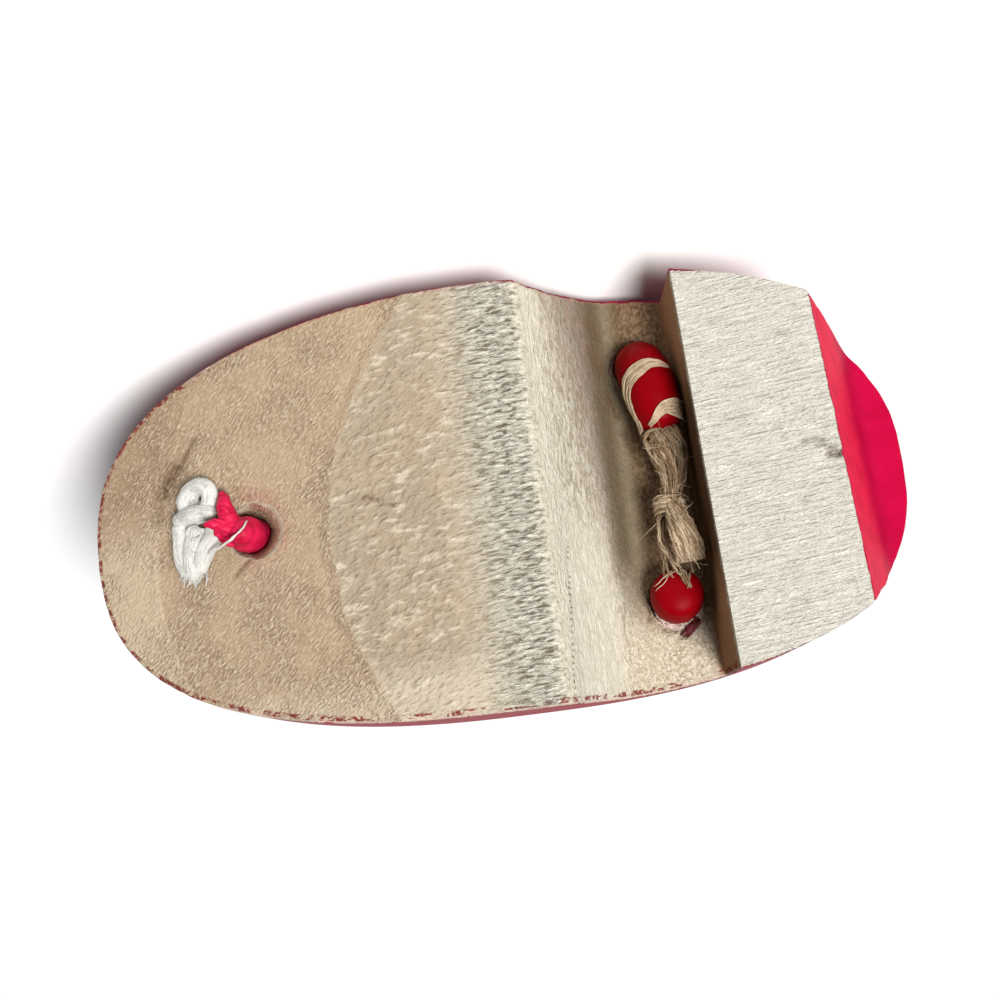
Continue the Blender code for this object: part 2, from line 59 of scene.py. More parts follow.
# Wooden base: plan and side, as its solid has them
TOE_REACH = 81.5
HEEL_REACH = 78.5
HALF_WIDTH = 40.0
FULLNESS = 2.55
HEIGHT = 32.0
RIM_ROUND = 2.4
TOE_LIFT = 20.0
SLANT_START = 12.0
SLANT_POWER = 1.25
RIDGE_X = -3.7
RIDGE_RUN = 2.6
RIDGE_DROP = 1.8
COVE_END_X = -24.0
COVE_POWER = 1.6
COVE_TOP = 21.3
SLOT_START_X = -26.0
SLOT_TOP = 21.5
HEEL_FRONT_X = -36.0
HEEL_FRONT_SKEW = math.tan(math.radians(1.8))
HEEL_BACK_X = -61.5
HEEL_BACK_SKEW = math.tan(math.radians(3.1))
HEEL_BACK_RUN = 8.8
HEEL_BACK_RISE = 22.0
HEEL_FILLET_RUN = 0.9
HEEL_FILLET_RISE = 2.6
OVERHANG_START_X = -73.2
OVERHANG_TOP = 26.4

# Holes
FRONT_HOLE = (49.5, 0.0)
FRONT_BORE = 3.7
FRONT_FLARE = 5.3
FRONT_FLARE_DEPTH = 2.2
LEFT_HOLE = (-28.6, 25.0)
RIGHT_HOLE = (-29.4, -21.9)
REAR_BORE = 4.75
REAR_FLARE = 5.2
REAR_FLARE_DEPTH = 0.8
HOLE_EASE = 1.0
HOLE_OVERSHOOT = 2.0
HOLE_SIDES = 56


def shoe_matrix():
    """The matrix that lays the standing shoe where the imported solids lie."""
    mounts = {mount["name"]: mount for mount in frame["record"]["mounts"]}
    tread = mounts["forefoot_tread"]
    up = -Vector(tread["axis"]).normalized()
    forward = Vector((1.0, 0.0, 0.0))
    left = up.cross(forward)
    origin = Vector(tread["pos_m"]) - forward * TREAD_MOUNT_X * MM
    turn = Matrix((forward, left, up)).transposed()
    return Matrix.Translation(origin) @ turn.to_4x4()


SHOE = shoe_matrix()


# Small helpers


def new_object(name, data):
    thing = bpy.data.objects.new(name, data)
    bpy.context.scene.collection.objects.link(thing)
    return thing


def add_piece(name, mesh, material, replaced=()):
    """A piece in the shoe's frame, laid down with the shoe and riding on its body."""
    piece = new_object(name, mesh)
    mesh.materials.clear()
    mesh.materials.append(material)
    piece.matrix_world = SHOE
    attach(piece, BODY)
    if replaced:
        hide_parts(*replaced)
    return piece


def applied(thing):
    """The mesh of an object with its modifiers applied. The object goes."""
    bpy.context.view_layer.update()
    graph = bpy.context.evaluated_depsgraph_get()
    mesh = bpy.data.meshes.new_from_object(thing.evaluated_get(graph))
    bpy.data.objects.remove(thing, do_unlink=True)
    return mesh


def mesh_from_arrays(name, points, faces):
    """A smooth-shaded mesh from points in millimetres and lists of corner numbers."""
    mesh = bpy.data.meshes.new(name)
    mesh.from_pydata((np.asarray(points, dtype=float) * MM).tolist(), [], faces)
    mesh.update()
    mesh.shade_smooth()
    return mesh


def vectors_of(items, name):
    """One vector for each vertex or face of a mesh, as rows."""
    flat = np.empty(len(items) * 3)
    items.foreach_get(name, flat)
    return flat.reshape(-1, 3)


def store(mesh, name, values):
    """One number for each corner of the mesh, for its material to read."""
    stored = mesh.attributes.new(name, "FLOAT", "POINT")
    stored.data.foreach_set("value", np.asarray(values, dtype=np.float32))


def grid_faces(rows, columns, offset=0, around=False):
    """Quads between numbered points that lie in rows and columns."""
    numbers = offset + np.arange(rows * columns).reshape(rows, columns)
    if around:
        numbers = np.hstack((numbers, numbers[:, :1]))
    corners = (numbers[:-1, :-1], numbers[:-1, 1:], numbers[1:, 1:], numbers[1:, :-1])
    return np.stack([corner.ravel() for corner in corners], axis=1).tolist()


def turn_outward(mesh):
    work = bmesh.new()
    work.from_mesh(mesh)
    bmesh.ops.recalc_face_normals(work, faces=work.faces)
    work.to_mesh(mesh)
    work.free()


def skin(name, rings):
    """A closed skin through rings of equal length, capped at both ends."""
    rows, sides = rings.shape[:2]
    faces = grid_faces(rows, sides, around=True)
    faces.append(tuple(range(sides)))
    faces.append(tuple(range((rows - 1) * sides, rows * sides)))
    mesh = mesh_from_arrays(name, rings.reshape(-1, 3), faces)
    turn_outward(mesh)
    return mesh


def field(points, size, seed=0.0, depth=1):
    """Smooth noise of about -1 to 1 over points, with blotches of the given size in millimetres."""
    scaled = np.asarray(points, dtype=float) / size + seed
    if depth == 1:
        return np.array([noise.noise(point) for point in scaled])
    return np.array([noise.fractal(point, 1.0, 2.0, depth) for point in scaled])


def ease(values, start, end):
    """0 before start, 1 after end, and smooth between."""
    share = np.clip((np.asarray(values, dtype=float) - start) / (end - start), 0.0, 1.0)
    return share * share * (3 - 2 * share)


def unit(vectors):
    return vectors / np.maximum(np.linalg.norm(vectors, axis=-1, keepdims=True), TINY)


def around_circle(sides):
    return np.linspace(0.0, 2 * math.pi, sides, endpoint=False)


# Shader helpers


class Value:
    """A number, vector or colour in a material, for sums and products with others."""

    def __init__(self, socket):
        self.socket = socket
        self.tree = socket.id_data

    def maths(self, operation, first, second):
        made = node(self.tree, "ShaderNodeMath", {0: first, 1: second}, operation=operation)
        return Value(made.outputs[0])

    def __add__(self, other):
        return self.maths("ADD", self, other)

    def __sub__(self, other):
        return self.maths("SUBTRACT", self, other)

    def __rsub__(self, other):
        return self.maths("SUBTRACT", other, self)

    def __mul__(self, other):
        return self.maths("MULTIPLY", self, other)

    def __abs__(self):
        return self.maths("ABSOLUTE", self, 0.0)

    def or_more(self, other):
        return self.maths("MAXIMUM", self, other)

    def sine(self):
        return self.maths("SINE", self, 0.0)


def plug(socket, value):
    """Links a value to a socket, or sets a plain number, vector or colour on it."""
    if isinstance(value, Value):
        value.tree.links.new(value.socket, socket)
    elif socket.type == "RGBA":
        socket.default_value = (*value, 1.0)
    else:
        socket.default_value = value


def node(tree, kind, inputs=None, **settings):
    made = tree.nodes.new(kind)
    for name, value in settings.items():
        setattr(made, name, value)
    for key, value in (inputs or {}).items():
        plug(made.inputs[key], value)
    return made


def mix(share, first, second):
    """The first colour where the share is 0, the second where it is 1."""
    inputs = {0: share, 6: first, 7: second}
    made = node(share.tree, "ShaderNodeMix", inputs, data_type="RGBA", clamp_factor=True)
    return Value(made.outputs[2])


def painted(colour, *layers):
    """A colour with others laid over it in turn, each by its own share."""
    for share, over in layers:
        colour = mix(share, colour, over)
    return colour


def span(value, start, end, low=0.0, high=1.0):
    """A value from start to end turned smoothly into low to high."""
    inputs = {"Value": value, "From Min": start, "From Max": end, "To Min": low, "To Max": high}
    made = node(value.tree, "ShaderNodeMapRange", inputs, interpolation_type="SMOOTHSTEP")
    return Value(made.outputs[0])


def stretched(place, stretch):
    made = node(place.tree, "ShaderNodeVectorMath", {0: place, 1: stretch}, operation="MULTIPLY")
    return Value(made.outputs[0])


def turned(place, degrees):
    """A place turned about the Z axis."""
    inputs = {"Vector": place, "Angle": math.radians(degrees)}
    return Value(node(place.tree, "ShaderNodeVectorRotate", inputs, rotation_type="Z_AXIS").outputs[0])


def grain(place, scale, detail=2.0, roughness=0.5, distortion=0.0):
    """Noise of 0 to 1 with so many blotches in a millimetre."""
    inputs = {"Vector": place, "Scale": scale, "Detail": detail}
    inputs.update({"Roughness": roughness, "Distortion": distortion})
    return Value(node(place.tree, "ShaderNodeTexNoise", inputs).outputs["Fac"])


def streaks(place, degrees, scales, detail, roughness=0.5, distortion=0.0):
    """Grain that is turned about Z and has its own scale along each axis."""
    return grain(stretched(turned(place, degrees), scales), 1.0, detail, roughness, distortion)


def specks(place, spacing, size):
    """Small scattered spots: 1 inside a spot, 0 elsewhere."""
    inputs = {"Vector": place, "Scale": 1 / spacing, "Randomness": 1.0}
    cells = node(place.tree, "ShaderNodeTexVoronoi", inputs)
    chance = span(Value(cells.outputs["Color"]), 0.66, 0.70)
    return span(Value(cells.outputs["Distance"]), size / spacing, 0.4 * size / spacing) * chance


def attribute(place, name):
    return Value(node(place.tree, "ShaderNodeAttribute", attribute_name=name).outputs["Fac"])


def new_material(name):
    """A material, and the place on a piece in millimetres of the shoe's frame."""
    material = bpy.data.materials.new(name)
    material.use_nodes = True
    place = Value(node(material.node_tree, "ShaderNodeTexCoord").outputs["Object"])
    return material, stretched(place, (1 / MM, 1 / MM, 1 / MM))


def finished(material, colour, roughness, specular, height=None, depth=0.0):
    """The material with its shader set, and with relief of a depth in millimetres where it has a height."""
    shader = material.node_tree.nodes["Principled BSDF"]
    plug(shader.inputs["Base Color"], colour)
    plug(shader.inputs["Roughness"], roughness)
    plug(shader.inputs["Specular IOR Level"], specular)
    if height is not None:
        inputs = {"Height": height, "Distance": depth * MM, "Strength": 1.0}
        plug(shader.inputs["Normal"], Value(node(height.tree, "ShaderNodeBump", inputs).outputs["Normal"]))
    return material


# Wooden base: shape


def half_width(x):
    reach = np.where(x > 0, TOE_REACH, HEEL_REACH)
    share = np.clip(np.abs(x) / reach, 0.0, 1.0)
    return HALF_WIDTH * (1 - share ** FULLNESS) ** (1 / FULLNESS)


def inside_outline(x, y):
    """Distance inside the deck's oval, and the direction out of it."""
    reach = np.where(x > 0, TOE_REACH, HEEL_REACH)
    u = np.abs(x) / reach
    v = np.abs(y) / HALF_WIDTH
    level = np.maximum(u ** FULLNESS + v ** FULLNESS, TINY)
    size = level ** (1 / FULLNESS)
    slope_x = level ** (1 / FULLNESS - 1) * u ** (FULLNESS - 1) / reach * np.sign(x)
    slope_y = level ** (1 / FULLNESS - 1) * v ** (FULLNESS - 1) / HALF_WIDTH * np.sign(y)
    steepness = np.maximum(np.hypot(slope_x, slope_y), TINY)
    return (1 - size) / steepness, slope_x / steepness, slope_y / steepness


def slant_height(x):
    along = np.maximum(x - SLANT_START, 0.0) / (TOE_REACH - SLANT_START)
    return TOE_LIFT * along ** SLANT_POWER


def cove_height(x):
    start = RIDGE_X - RIDGE_RUN
    along = np.clip((start - x) / (start - COVE_END_X), 0.0, 1.0)
    return RIDGE_DROP + (COVE_TOP - RIDGE_DROP) * (1 - (1 - along) ** COVE_POWER)


# Underside as a grid: rows along its side profile, columns across it
TRACK_STEP = 0.05
FINE_ROWS = 0.45
SMOOTH_ROWS = 0.9
WALL_ROWS = 1.8
TIP_ROWS = 0.02
TIP_GROWTH = 0.25
CORNER_SOFTNESS = 0.22
BACK_SOFTNESS = 7.0
BACK_SOFT_SPAN = 9.0
COLUMNS = 124
EDGE_STEPS = np.array((0.0, 0.1, 0.25, 0.45, 0.75, 1.2))
WALL_SHARES = (0.0, 0.03, 0.15, 0.3, 0.45, 0.6, 0.75, 0.9, 1.0)
RIM_STEPS = 5
DECK_RINGS = 9
WELD = 0.001 * MM
HEEL_FRONT_LEAN = 0.15

# Grain of the board: arcs across the forefoot, bowed to the toe
GRAIN_MIDDLE_Y = -6.0
GRAIN_BOW = 12.0
GRAIN_BOW_SPAN = 36.0
GRAIN_ARCS = ((34.0, 0.22), (36.2, -0.10), (51.5, 0.05), (60.0, 0.05), (69.5, 0.16))
GRAIN_ARC_WIDTH = 0.8
RING_WAVER = 0.45

# Ripples on the ridge lean this much off the shoe's length
RIPPLE_SLANT = 0.12

# Dark nick that runs in from the rear edge of the heel
NICK_X = -61.0
NICK_Y = -0.8
NICK_LENGTH = 4.2
NICK_WIDTH = 0.6
NICK_DEPTH = 1.1

# Dirt and cracks on the bare wood: half width, strength, depth, and the places it runs through as x and y
DIRT_MARKS = (
    (0.55, 0.8, 0.30, ((59.1, 19.6), (61.2, 16.8), (63.4, 14.6))),
    (1.7, 1.0, 0.30, ((63.0, 15.0), (65.0, 12.6), (66.2, 10.4))),
    (0.8, 0.6, 0.05, ((66.2, 10.8), (67.3, 7.7), (67.6, 5.0))),
    (0.50, 1.0, 0.25, ((26.6, 2.6), (25.2, 2.2))),
    (0.45, 1.0, 0.20, ((24.2, 1.8), (23.2, 1.3))),
    (0.45, 1.0, 0.20, ((22.0, 0.6), (21.3, 0.3))),
    (0.42, 1.0, 0.45, ((49.6, -4.6), (51.4, -6.2), (53.3, -7.7))),
    (0.45, 0.75, 0.30, ((-54.8, 1.9), (-56.6, 2.3), (-58.4, 2.0))),
    (0.40, 0.8, 0.30, ((-57.2, 1.0), (-58.8, 1.0), (-60.4, 0.2))),
    (0.70, 1.0, 0.50, ((-59.4, -0.5), (-61.0, -1.0))),
    (0.3, 0.45, 0.12, ((-41.0, 7.8), (-43.6, 8.2), (-46.1, 8.3))),
    (0.5, 0.35, 0.06, ((-50.0, 5.3), (-50.9, 5.0))),
    (0.4, 0.35, 0.06, ((-51.0, 3.4), (-51.5, 3.2))),
    (0.45, 0.35, 0.05, ((-53.2, -8.9), (-53.9, -9.1))),
    (0.6, 0.35, 0.05, ((-53.6, 22.8), (-54.6, 22.4))),
    (0.5, 0.4, 0.05, ((-50.7, -26.8), (-51.4, -27.2))),
    (0.55, 1.0, 0.5, ((-24.5, -23.4), (-24.0, -25.2))),
    (0.4, 1.0, 0.4, ((-26.2, -27.2), (-27.6, -27.8), (-29.2, -27.6))),
    (0.4, 0.9, 0.3, ((-29.6, -29.2), (-31.0, -28.2))),
    (0.9, 0.8, 0.15, ((-19.8, 35.0), (-21.0, 32.0))),
    (0.9, 0.9, 0.2, ((-20.0, 29.0), (-20.8, 25.0))),
    (0.9, 1.0, 0.3, ((-22.0, 19.4), (-23.0, 15.6))),
    (0.7, 0.8, 0.2, ((-24.2, 12.0), (-25.2, 8.6))),
)

# Pink that the red cloth has left on the wood: half width, strength and places
STAIN_MARKS = (
    (2.2, 0.55, ((46.2, 4.8), (44.2, 1.6), (44.6, -2.4))),
    (1.6, 0.35, ((50.6, 7.4), (47.6, 6.2))),
    (1.4, 0.3, ((47.0, -4.6), (49.8, -5.8))),
)


def marked(x, y, path, width):
    """1 along a path over the sole, fading to 0 at about twice the half width from it."""
    nearest = np.full(np.shape(x), np.inf)
    for (start_x, start_y), (end_x, end_y) in zip(path[:-1], path[1:]):
        run_x, run_y = end_x - start_x, end_y - start_y
        share = ((x - start_x) * run_x + (y - start_y) * run_y) / (run_x ** 2 + run_y ** 2)
        share = np.clip(share, 0.0, 1.0)
        away = np.hypot(x - start_x - share * run_x, y - start_y - share * run_y)
        nearest = np.minimum(nearest, away)
    return np.exp(-((nearest / width) ** 2))


def profile_track():
    """Fine points down the underside's side profile, from toe to heel: x, z, skew and the rows' spacing."""
    toe_x = np.arange(TOE_REACH, SLANT_START, -TRACK_STEP)
    cove_x = np.arange(RIDGE_X - RIDGE_RUN, COVE_END_X, -TRACK_STEP)
    steep_end = HEEL_BACK_X - HEEL_BACK_RUN
    corners = [(x, z, 0.0, FINE_ROWS) for x, z in zip(toe_x, slant_height(toe_x))]
    corners += [
        (SLANT_START, 0.0, 0.0, FINE_ROWS),
        (RIDGE_X + RIDGE_RUN / 3, 0.0, 0.0, FINE_ROWS),
        (RIDGE_X - RIDGE_RUN / 3, RIDGE_DROP / 7, 0.0, FINE_ROWS),
        (RIDGE_X - RIDGE_RUN * 3 / 4, RIDGE_DROP / 2, 0.0, FINE_ROWS),
    ]
    corners += [(x, z, 0.0, FINE_ROWS) for x, z in zip(cove_x, cove_height(cove_x))]
    corners += [
        (COVE_END_X, COVE_TOP, 0.0, FINE_ROWS),
        (SLOT_START_X, SLOT_TOP, 0.0, FINE_ROWS),
        (HEEL_FRONT_X + HEEL_FRONT_LEAN, SLOT_TOP, HEEL_FRONT_SKEW, WALL_ROWS),
        (HEEL_FRONT_X - HEEL_FRONT_LEAN, 0.0, HEEL_FRONT_SKEW, FINE_ROWS),
        (HEEL_BACK_X, 0.0, HEEL_BACK_SKEW, SMOOTH_ROWS),
        (steep_end, HEEL_BACK_RISE, HEEL_BACK_SKEW, FINE_ROWS),
        (steep_end - HEEL_FILLET_RUN, HEEL_BACK_RISE + HEEL_FILLET_RISE, HEEL_BACK_SKEW, FINE_ROWS),
        (OVERHANG_START_X, OVERHANG_TOP, HEEL_BACK_SKEW, FINE_ROWS),
        (-HEEL_REACH, OVERHANG_TOP, 0.0, FINE_ROWS),
    ]
    table = np.array(corners)
    length = np.concatenate(((0.0,), np.cumsum(np.hypot(*np.diff(table[:, :2], axis=0).T))))
    places = np.arange(0.0, length[-1], TRACK_STEP)
    places = np.append(places, length[-1])
    track = np.column_stack([np.interp(places, length, table[:, i]) for i in range(3)])
    spacing = table[np.searchsorted(length, places, side="right").clip(1, len(table)) - 1, 3]
    return places, track, spacing


def soften(values, reach):
    """Round off corners in a fine track by a running mean of the given reach, with its ends kept."""
    count = max(int(reach / TRACK_STEP), 1)
    weights = np.hanning(2 * count + 3)[1:-1]
    padded = np.concatenate((np.full(count, values[0]), values, np.full(count, values[-1])))
    result = np.convolve(padded, weights / weights.sum(), mode="valid")
    result[0], result[-1] = values[0], values[-1]
    return result


def profile_rows():
    """Rows of the underside: x, z, skew, and the outward direction in X and Z."""
    places, track, spacing = profile_track()
    corner = places[np.argmin(np.hypot(track[:, 0] - OVERHANG_START_X, track[:, 1] - OVERHANG_TOP))]
    back = 1 - ease(np.abs(places - corner), 0.3 * BACK_SOFT_SPAN, BACK_SOFT_SPAN)
    crisp = [soften(column, 2 * CORNER_SOFTNESS) for column in track.T]
    round_back = [soften(column, BACK_SOFTNESS) for column in track.T]
    x, z, skew = (back * wide + (1 - back) * close for wide, close in zip(round_back, crisp))
    tip = np.minimum(places, places[-1] - places)
    spacing = np.minimum(spacing, TIP_ROWS + TIP_GROWTH * tip)
    counted = np.concatenate(((0.0,), np.cumsum(TRACK_STEP / spacing[1:])))
    wanted = np.linspace(0.0, counted[-1], int(counted[-1]) + 1)
    along_x, along_z = np.gradient(x), np.gradient(z)
    speed = np.maximum(np.hypot(along_x, along_z), TINY)
    columns = (x, z, skew, -along_z / speed, along_x / speed)
    return [np.interp(wanted, counted, column) for column in columns]


def zones(x, z):
    """Shares of the underside's stretches along it: forefoot, ridge, cove, recess and heel tread."""
    low = 1 - ease(z, 0.6, 2.5)
    heel = 1 - ease(x, HEEL_FRONT_X - 0.4, HEEL_FRONT_X + 0.6)
    heel = heel * ease(x, HEEL_BACK_X - 0.8, HEEL_BACK_X) * low
    ridge = ease(x, RIDGE_X - 4.5, RIDGE_X - 1.0) * (1 - ease(x, -1.0, 13.0))
    forefoot = ease(x, RIDGE_X + 1.0, 10.0)
    cove = ease(x, COVE_END_X - 1.0, COVE_END_X + 3.0) * (1 - ease(x, RIDGE_X - 4.0, RIDGE_X - 1.0))
    recess = (1 - ease(x, COVE_END_X - 2.0, COVE_END_X + 4.0)) * ease(x, HEEL_FRONT_X - 1.0, HEEL_FRONT_X)
    return forefoot, ridge, cove, recess * ease(z, 0.2, 1.5), heel


def arc_level(x, y):
    return x + GRAIN_BOW * ((y - GRAIN_MIDDLE_Y) / GRAIN_BOW_SPAN) ** 2


def underside_relief(along, x, y, z):
    """Carved and sawn relief of the bare wood, in millimetres out of it."""
    flat = np.column_stack((x, y, z))
    forefoot, ridge, cove, recess, heel = zones(along, z)
    level = arc_level(x, y) + RING_WAVER * field(flat, 9.0, 3.1)
    arcs = sum(rise * np.exp(-((level - place) / GRAIN_ARC_WIDTH) ** 2) for place, rise in GRAIN_ARCS)
    inner = 1 - ease(level, 32.5, 34.5)
    curl = field(flat / (2.2, 1.5, 2.0) + 0.5 * field(flat, 3.0, 15.0)[:, None], 1.0, 1.3, 2)
    relief = 0.16 * field(flat, 13.0, 7.7) * (1 - heel)
    relief += forefoot * ((0.10 + 0.10 * inner) * curl + arcs)
    slanted = np.column_stack((x, y + RIPPLE_SLANT * x, z))
    relief += ridge * ease(along, -5.6, -3.6) * 0.45 * field(slanted / (3.4, 1.25, 4.0), 1.0, 5.9, 2)
    relief += cove * 0.07 * field(flat / (1.8, 3.0, 1.8), 1.0, 9.4)
    relief += recess * 0.12 * field(flat / (3.5, 1.4, 2.0), 1.0, 2.2)
    relief += heel * (0.20 * field(flat / (9.0, 1.3, 3.0), 1.0, 4.4, 2) + 0.10 * field(flat, 5.0, 8.1))
    for width, _, depth, path in DIRT_MARKS:
        relief -= depth * marked(x, y, path, width)
    nick_end = 1 - ease(along, NICK_X + 0.3 * NICK_LENGTH, NICK_X + NICK_LENGTH)
    nick_run = ease(along, NICK_X - 0.5, NICK_X) * nick_end
    nick = np.exp(-((y - NICK_Y - 0.3 * field(flat, 1.5, 6.0)) / NICK_WIDTH) ** 2)
    return relief - NICK_DEPTH * nick_run * nick * (z < 4.0)


def edge_wear(x, y, z):
    """How far the corner between underside and side wall is worn round, in millimetres."""
    flat = np.column_stack((x, y, z))
    return np.clip(0.55 + 0.45 * field(flat, 7.0, 11.0) + 0.3 * field(flat, 2.0, 12.0), 0.2, 1.4)


def lacquer_bleed(x, y):
    """How far the lacquer has crept over the edge on to the bare wood, in millimetres."""
    near = 1 - ease(y, -5.0, 5.0)
    toe = ease(x, 50.0, 66.0)
    heel = 1 - ease(x, -46.0, -36.0)
    far_cove = (1 - near) * (1 - ease(x, -6.0, 0.0)) * (1 - heel)
    return (0.25 - 0.35 * near) * (1 - toe) * (1 - heel) + 0.25 * far_cove - 0.5 * toe - 0.3 * heel


def lacquer_chips(x, y):
    """How ragged the lacquer's edge is: worn along the near side and the toe, clean along the heel."""
    near = 1 - ease(y, -20.0, -10.0)
    toe = ease(x, 40.0, 60.0)
    heel = 1 - ease(x, -58.0, -50.0)
    return np.maximum(0.45 + 0.55 * near, 0.8 * toe) * (1 - 0.8 * heel)


# Rounds that bring the ends of a skewed row on to the oval, and how near it counts as on it
BORDER_ROUNDS = 12
BORDER_REACH = 0.05


def underside_grid():
    """Points of the underside by row and column, bordered by the deck's oval, and its finish there."""
    x0, z0, skew, out_x, out_z = profile_rows()
    high, low = half_width(x0), -half_width(x0)
    for _ in range(BORDER_ROUNDS):
        high = half_width(x0 + skew * high)
        low = -half_width(x0 + skew * low)
    margin = np.minimum(EDGE_STEPS[-1], 0.2 * (high - low))
    border = margin[:, None] * EDGE_STEPS / EDGE_STEPS[-1]
    share = np.linspace(0.0, 1.0, COLUMNS)[1:-1]
    middle = (low + margin)[:, None] + (high - low - 2 * margin)[:, None] * share
    y = np.hstack((low[:, None] + border, middle, high[:, None] - border[:, ::-1]))
    x = x0[:, None] + skew[:, None] * y
    z = np.repeat(z0[:, None], y.shape[1], axis=1)
    distance = np.maximum(inside_outline(x, y)[0], 0.0)
    along = np.repeat(x0[:, None], y.shape[1], axis=1)
    flat = [values.ravel() for values in (x, y, z)]
    wear = edge_wear(*flat).reshape(x.shape)
    worn = wear - np.sqrt(np.maximum(wear ** 2 - np.maximum(wear - distance, 0.0) ** 2, 0.0))
    lift = underside_relief(along.ravel(), *flat).reshape(x.shape) - worn
    lift[0], lift[-1] = -wear[0], -wear[-1]
    points = np.stack((x + out_x[:, None] * lift, y, z + out_z[:, None] * lift), axis=-1)
    past_heel = np.hypot(along - HEEL_BACK_X, z)
    to_rear = np.where(along < HEEL_FRONT_X, along - HEEL_BACK_X, HALF_WIDTH)
    red = np.where(along < HEEL_BACK_X, past_heel, -np.minimum(distance, to_rear)) + lacquer_bleed(x, y)
    names = ("forefoot", "ridge", "cove", "recess", "heel")
    finish = dict(zip(names, zones(along.ravel(), flat[2])))
    finish["lacquer"] = red.ravel()
    finish["chip"] = lacquer_chips(flat[0], flat[1])
    finish["flank"] = ((distance < BORDER_REACH) & (along > HEEL_FRONT_X)).ravel().astype(float)
    dirt = [strength * marked(flat[0], flat[1], path, width) for width, strength, _, path in DIRT_MARKS]
    finish["dirt"] = np.max(dirt, axis=0)
    stains = [strength * marked(flat[0], flat[1], path, width) for width, strength, path in STAIN_MARKS]
    finish["stain"] = np.max(stains, axis=0)
    finish["ring"] = arc_level(flat[0], flat[1]) + RING_WAVER * field(np.column_stack(flat), 9.0, 3.1)
    finish["wall"] = (1 - ease(np.abs(along.ravel() - HEEL_FRONT_X), 0.5, 1.5)) * ease(flat[2], 0.3, 1.2)
    return points, finish


def wall_rings(border):
    """Rings from the underside's border up the side wall, round the deck's rim and in over the deck."""
    top = HEIGHT - RIM_ROUND
    plan = border.copy()
    rear = int(np.argmin(border[:, 0]))
    plan[:rear, 0] = np.minimum.accumulate(border[:rear, 0])
    plan[rear:, 0] = np.maximum.accumulate(border[rear:, 0])
    plan[:, 1] = np.sign(border[:, 1]) * half_width(plan[:, 0])
    plan[:, 2] = top
    out = np.column_stack(inside_outline(plan[:, 0], plan[:, 1])[1:])
    rings = [border + (plan - border) * share for share in WALL_SHARES]
    for angle in np.linspace(0.0, math.pi / 2, RIM_STEPS + 1)[1:]:
        ring = plan.copy()
        ring[:, :2] -= out * RIM_ROUND * (1 - math.cos(angle))
        ring[:, 2] = top + RIM_ROUND * math.sin(angle)
        rings.append(ring)
    for share in np.linspace(1.0, 0.0, DECK_RINGS + 1)[1:-1]:
        ring = rings[len(WALL_SHARES) + RIM_STEPS - 1].copy()
        ring[:, :2] *= share
        rings.append(ring)
    return rings


def base_block():
    """The closed block: underside grid, side wall, rim and deck."""
    grid, finish = underside_grid()
    rows, columns = grid.shape[:2]
    border = np.vstack((grid[:-1, -1], grid[:0:-1, 0]))
    rings = wall_rings(border)
    ring_count = len(border)
    grid_red = finish["lacquer"].reshape(rows, columns)
    border_red = np.concatenate((grid_red[:-1, -1], grid_red[:0:-1, 0]))
    on_wall = rings[: len(WALL_SHARES)]
    above = len(rings) - len(on_wall)
    red = [ring[:, 2] - border[:, 2] + border_red for ring in on_wall]
    red = np.concatenate((*red, np.full(above * ring_count + 1, HEIGHT)))
    points = np.vstack((grid.reshape(-1, 3), *rings, ((0.0, 0.0, HEIGHT),)))
    start = rows * columns
    faces = grid_faces(rows, columns)
    faces += grid_faces(len(rings), ring_count, start, around=True)
    last = start + (len(rings) - 1) * ring_count
    centre = start + len(rings) * ring_count
    faces += [(last + i, last + (i + 1) % ring_count, centre) for i in range(ring_count)]
    mesh = mesh_from_arrays("dai_block", points, faces)
    beyond = {name: np.zeros(len(red)) for name in finish}
    beyond["lacquer"] = red
    chips = lacquer_chips(border[:, 0], border[:, 1])
    beyond["chip"] = np.append(np.tile(chips, len(rings)), 0.0)
    sideways = ease(np.abs(inside_outline(border[:, 0], border[:, 1])[2]), 0.5, 0.9)
    sideways = np.maximum(sideways, ease(border[:, 0], 0.0, 30.0))
    beyond["flank"] = np.append(np.tile(sideways, len(on_wall)), np.ones(above * ring_count + 1))
    for name, values in finish.items():
        store(mesh, name, np.concatenate((values, beyond[name])))
    store(mesh, "bore", np.zeros(len(points)))
    work = bmesh.new()
    work.from_mesh(mesh)
    bmesh.ops.remove_doubles(work, verts=work.verts, dist=WELD)
    bmesh.ops.dissolve_degenerate(work, edges=work.edges, dist=WELD / 10)
    bmesh.ops.recalc_face_normals(work, faces=work.faces)
    work.to_mesh(mesh)
    work.free()
    return mesh


# Finish of a hole's flare: its wood is as in the toe's outer rings, it's stained by the red cloth, and it
# takes a little of the bore's painted shade
FLARE_RING = 50.0
FLARE_STAIN = 0.5
FLARE_BORE = 0.1

# How far tearing moves the wall of a hole
FRONT_TEAR = 0.25
REAR_TEAR = 0.5

# Shading: edges over this angle are sharp, and the deck's level faces and its side's upright ones are flat
SHARP_ANGLE = 50.0
FACING_UP = 0.999
FACING_SIDEWAYS = 0.01
DECK_REACH = 0.05
SIDE_REACH = 0.1


def hole_profile(bore, exit_height, flare, flare_depth):
    """Radius and height pairs of a hole that is eased at the deck and flared where it comes out."""
    slope = (flare - bore) / flare_depth
    return (
        (bore + HOLE_EASE + HOLE_OVERSHOOT, HEIGHT + HOLE_OVERSHOOT),
        (bore, HEIGHT - HOLE_EASE),
        (bore, exit_height + flare_depth),
        (flare, exit_height),
        (flare + slope * HOLE_OVERSHOOT, exit_height - HOLE_OVERSHOOT),
    )


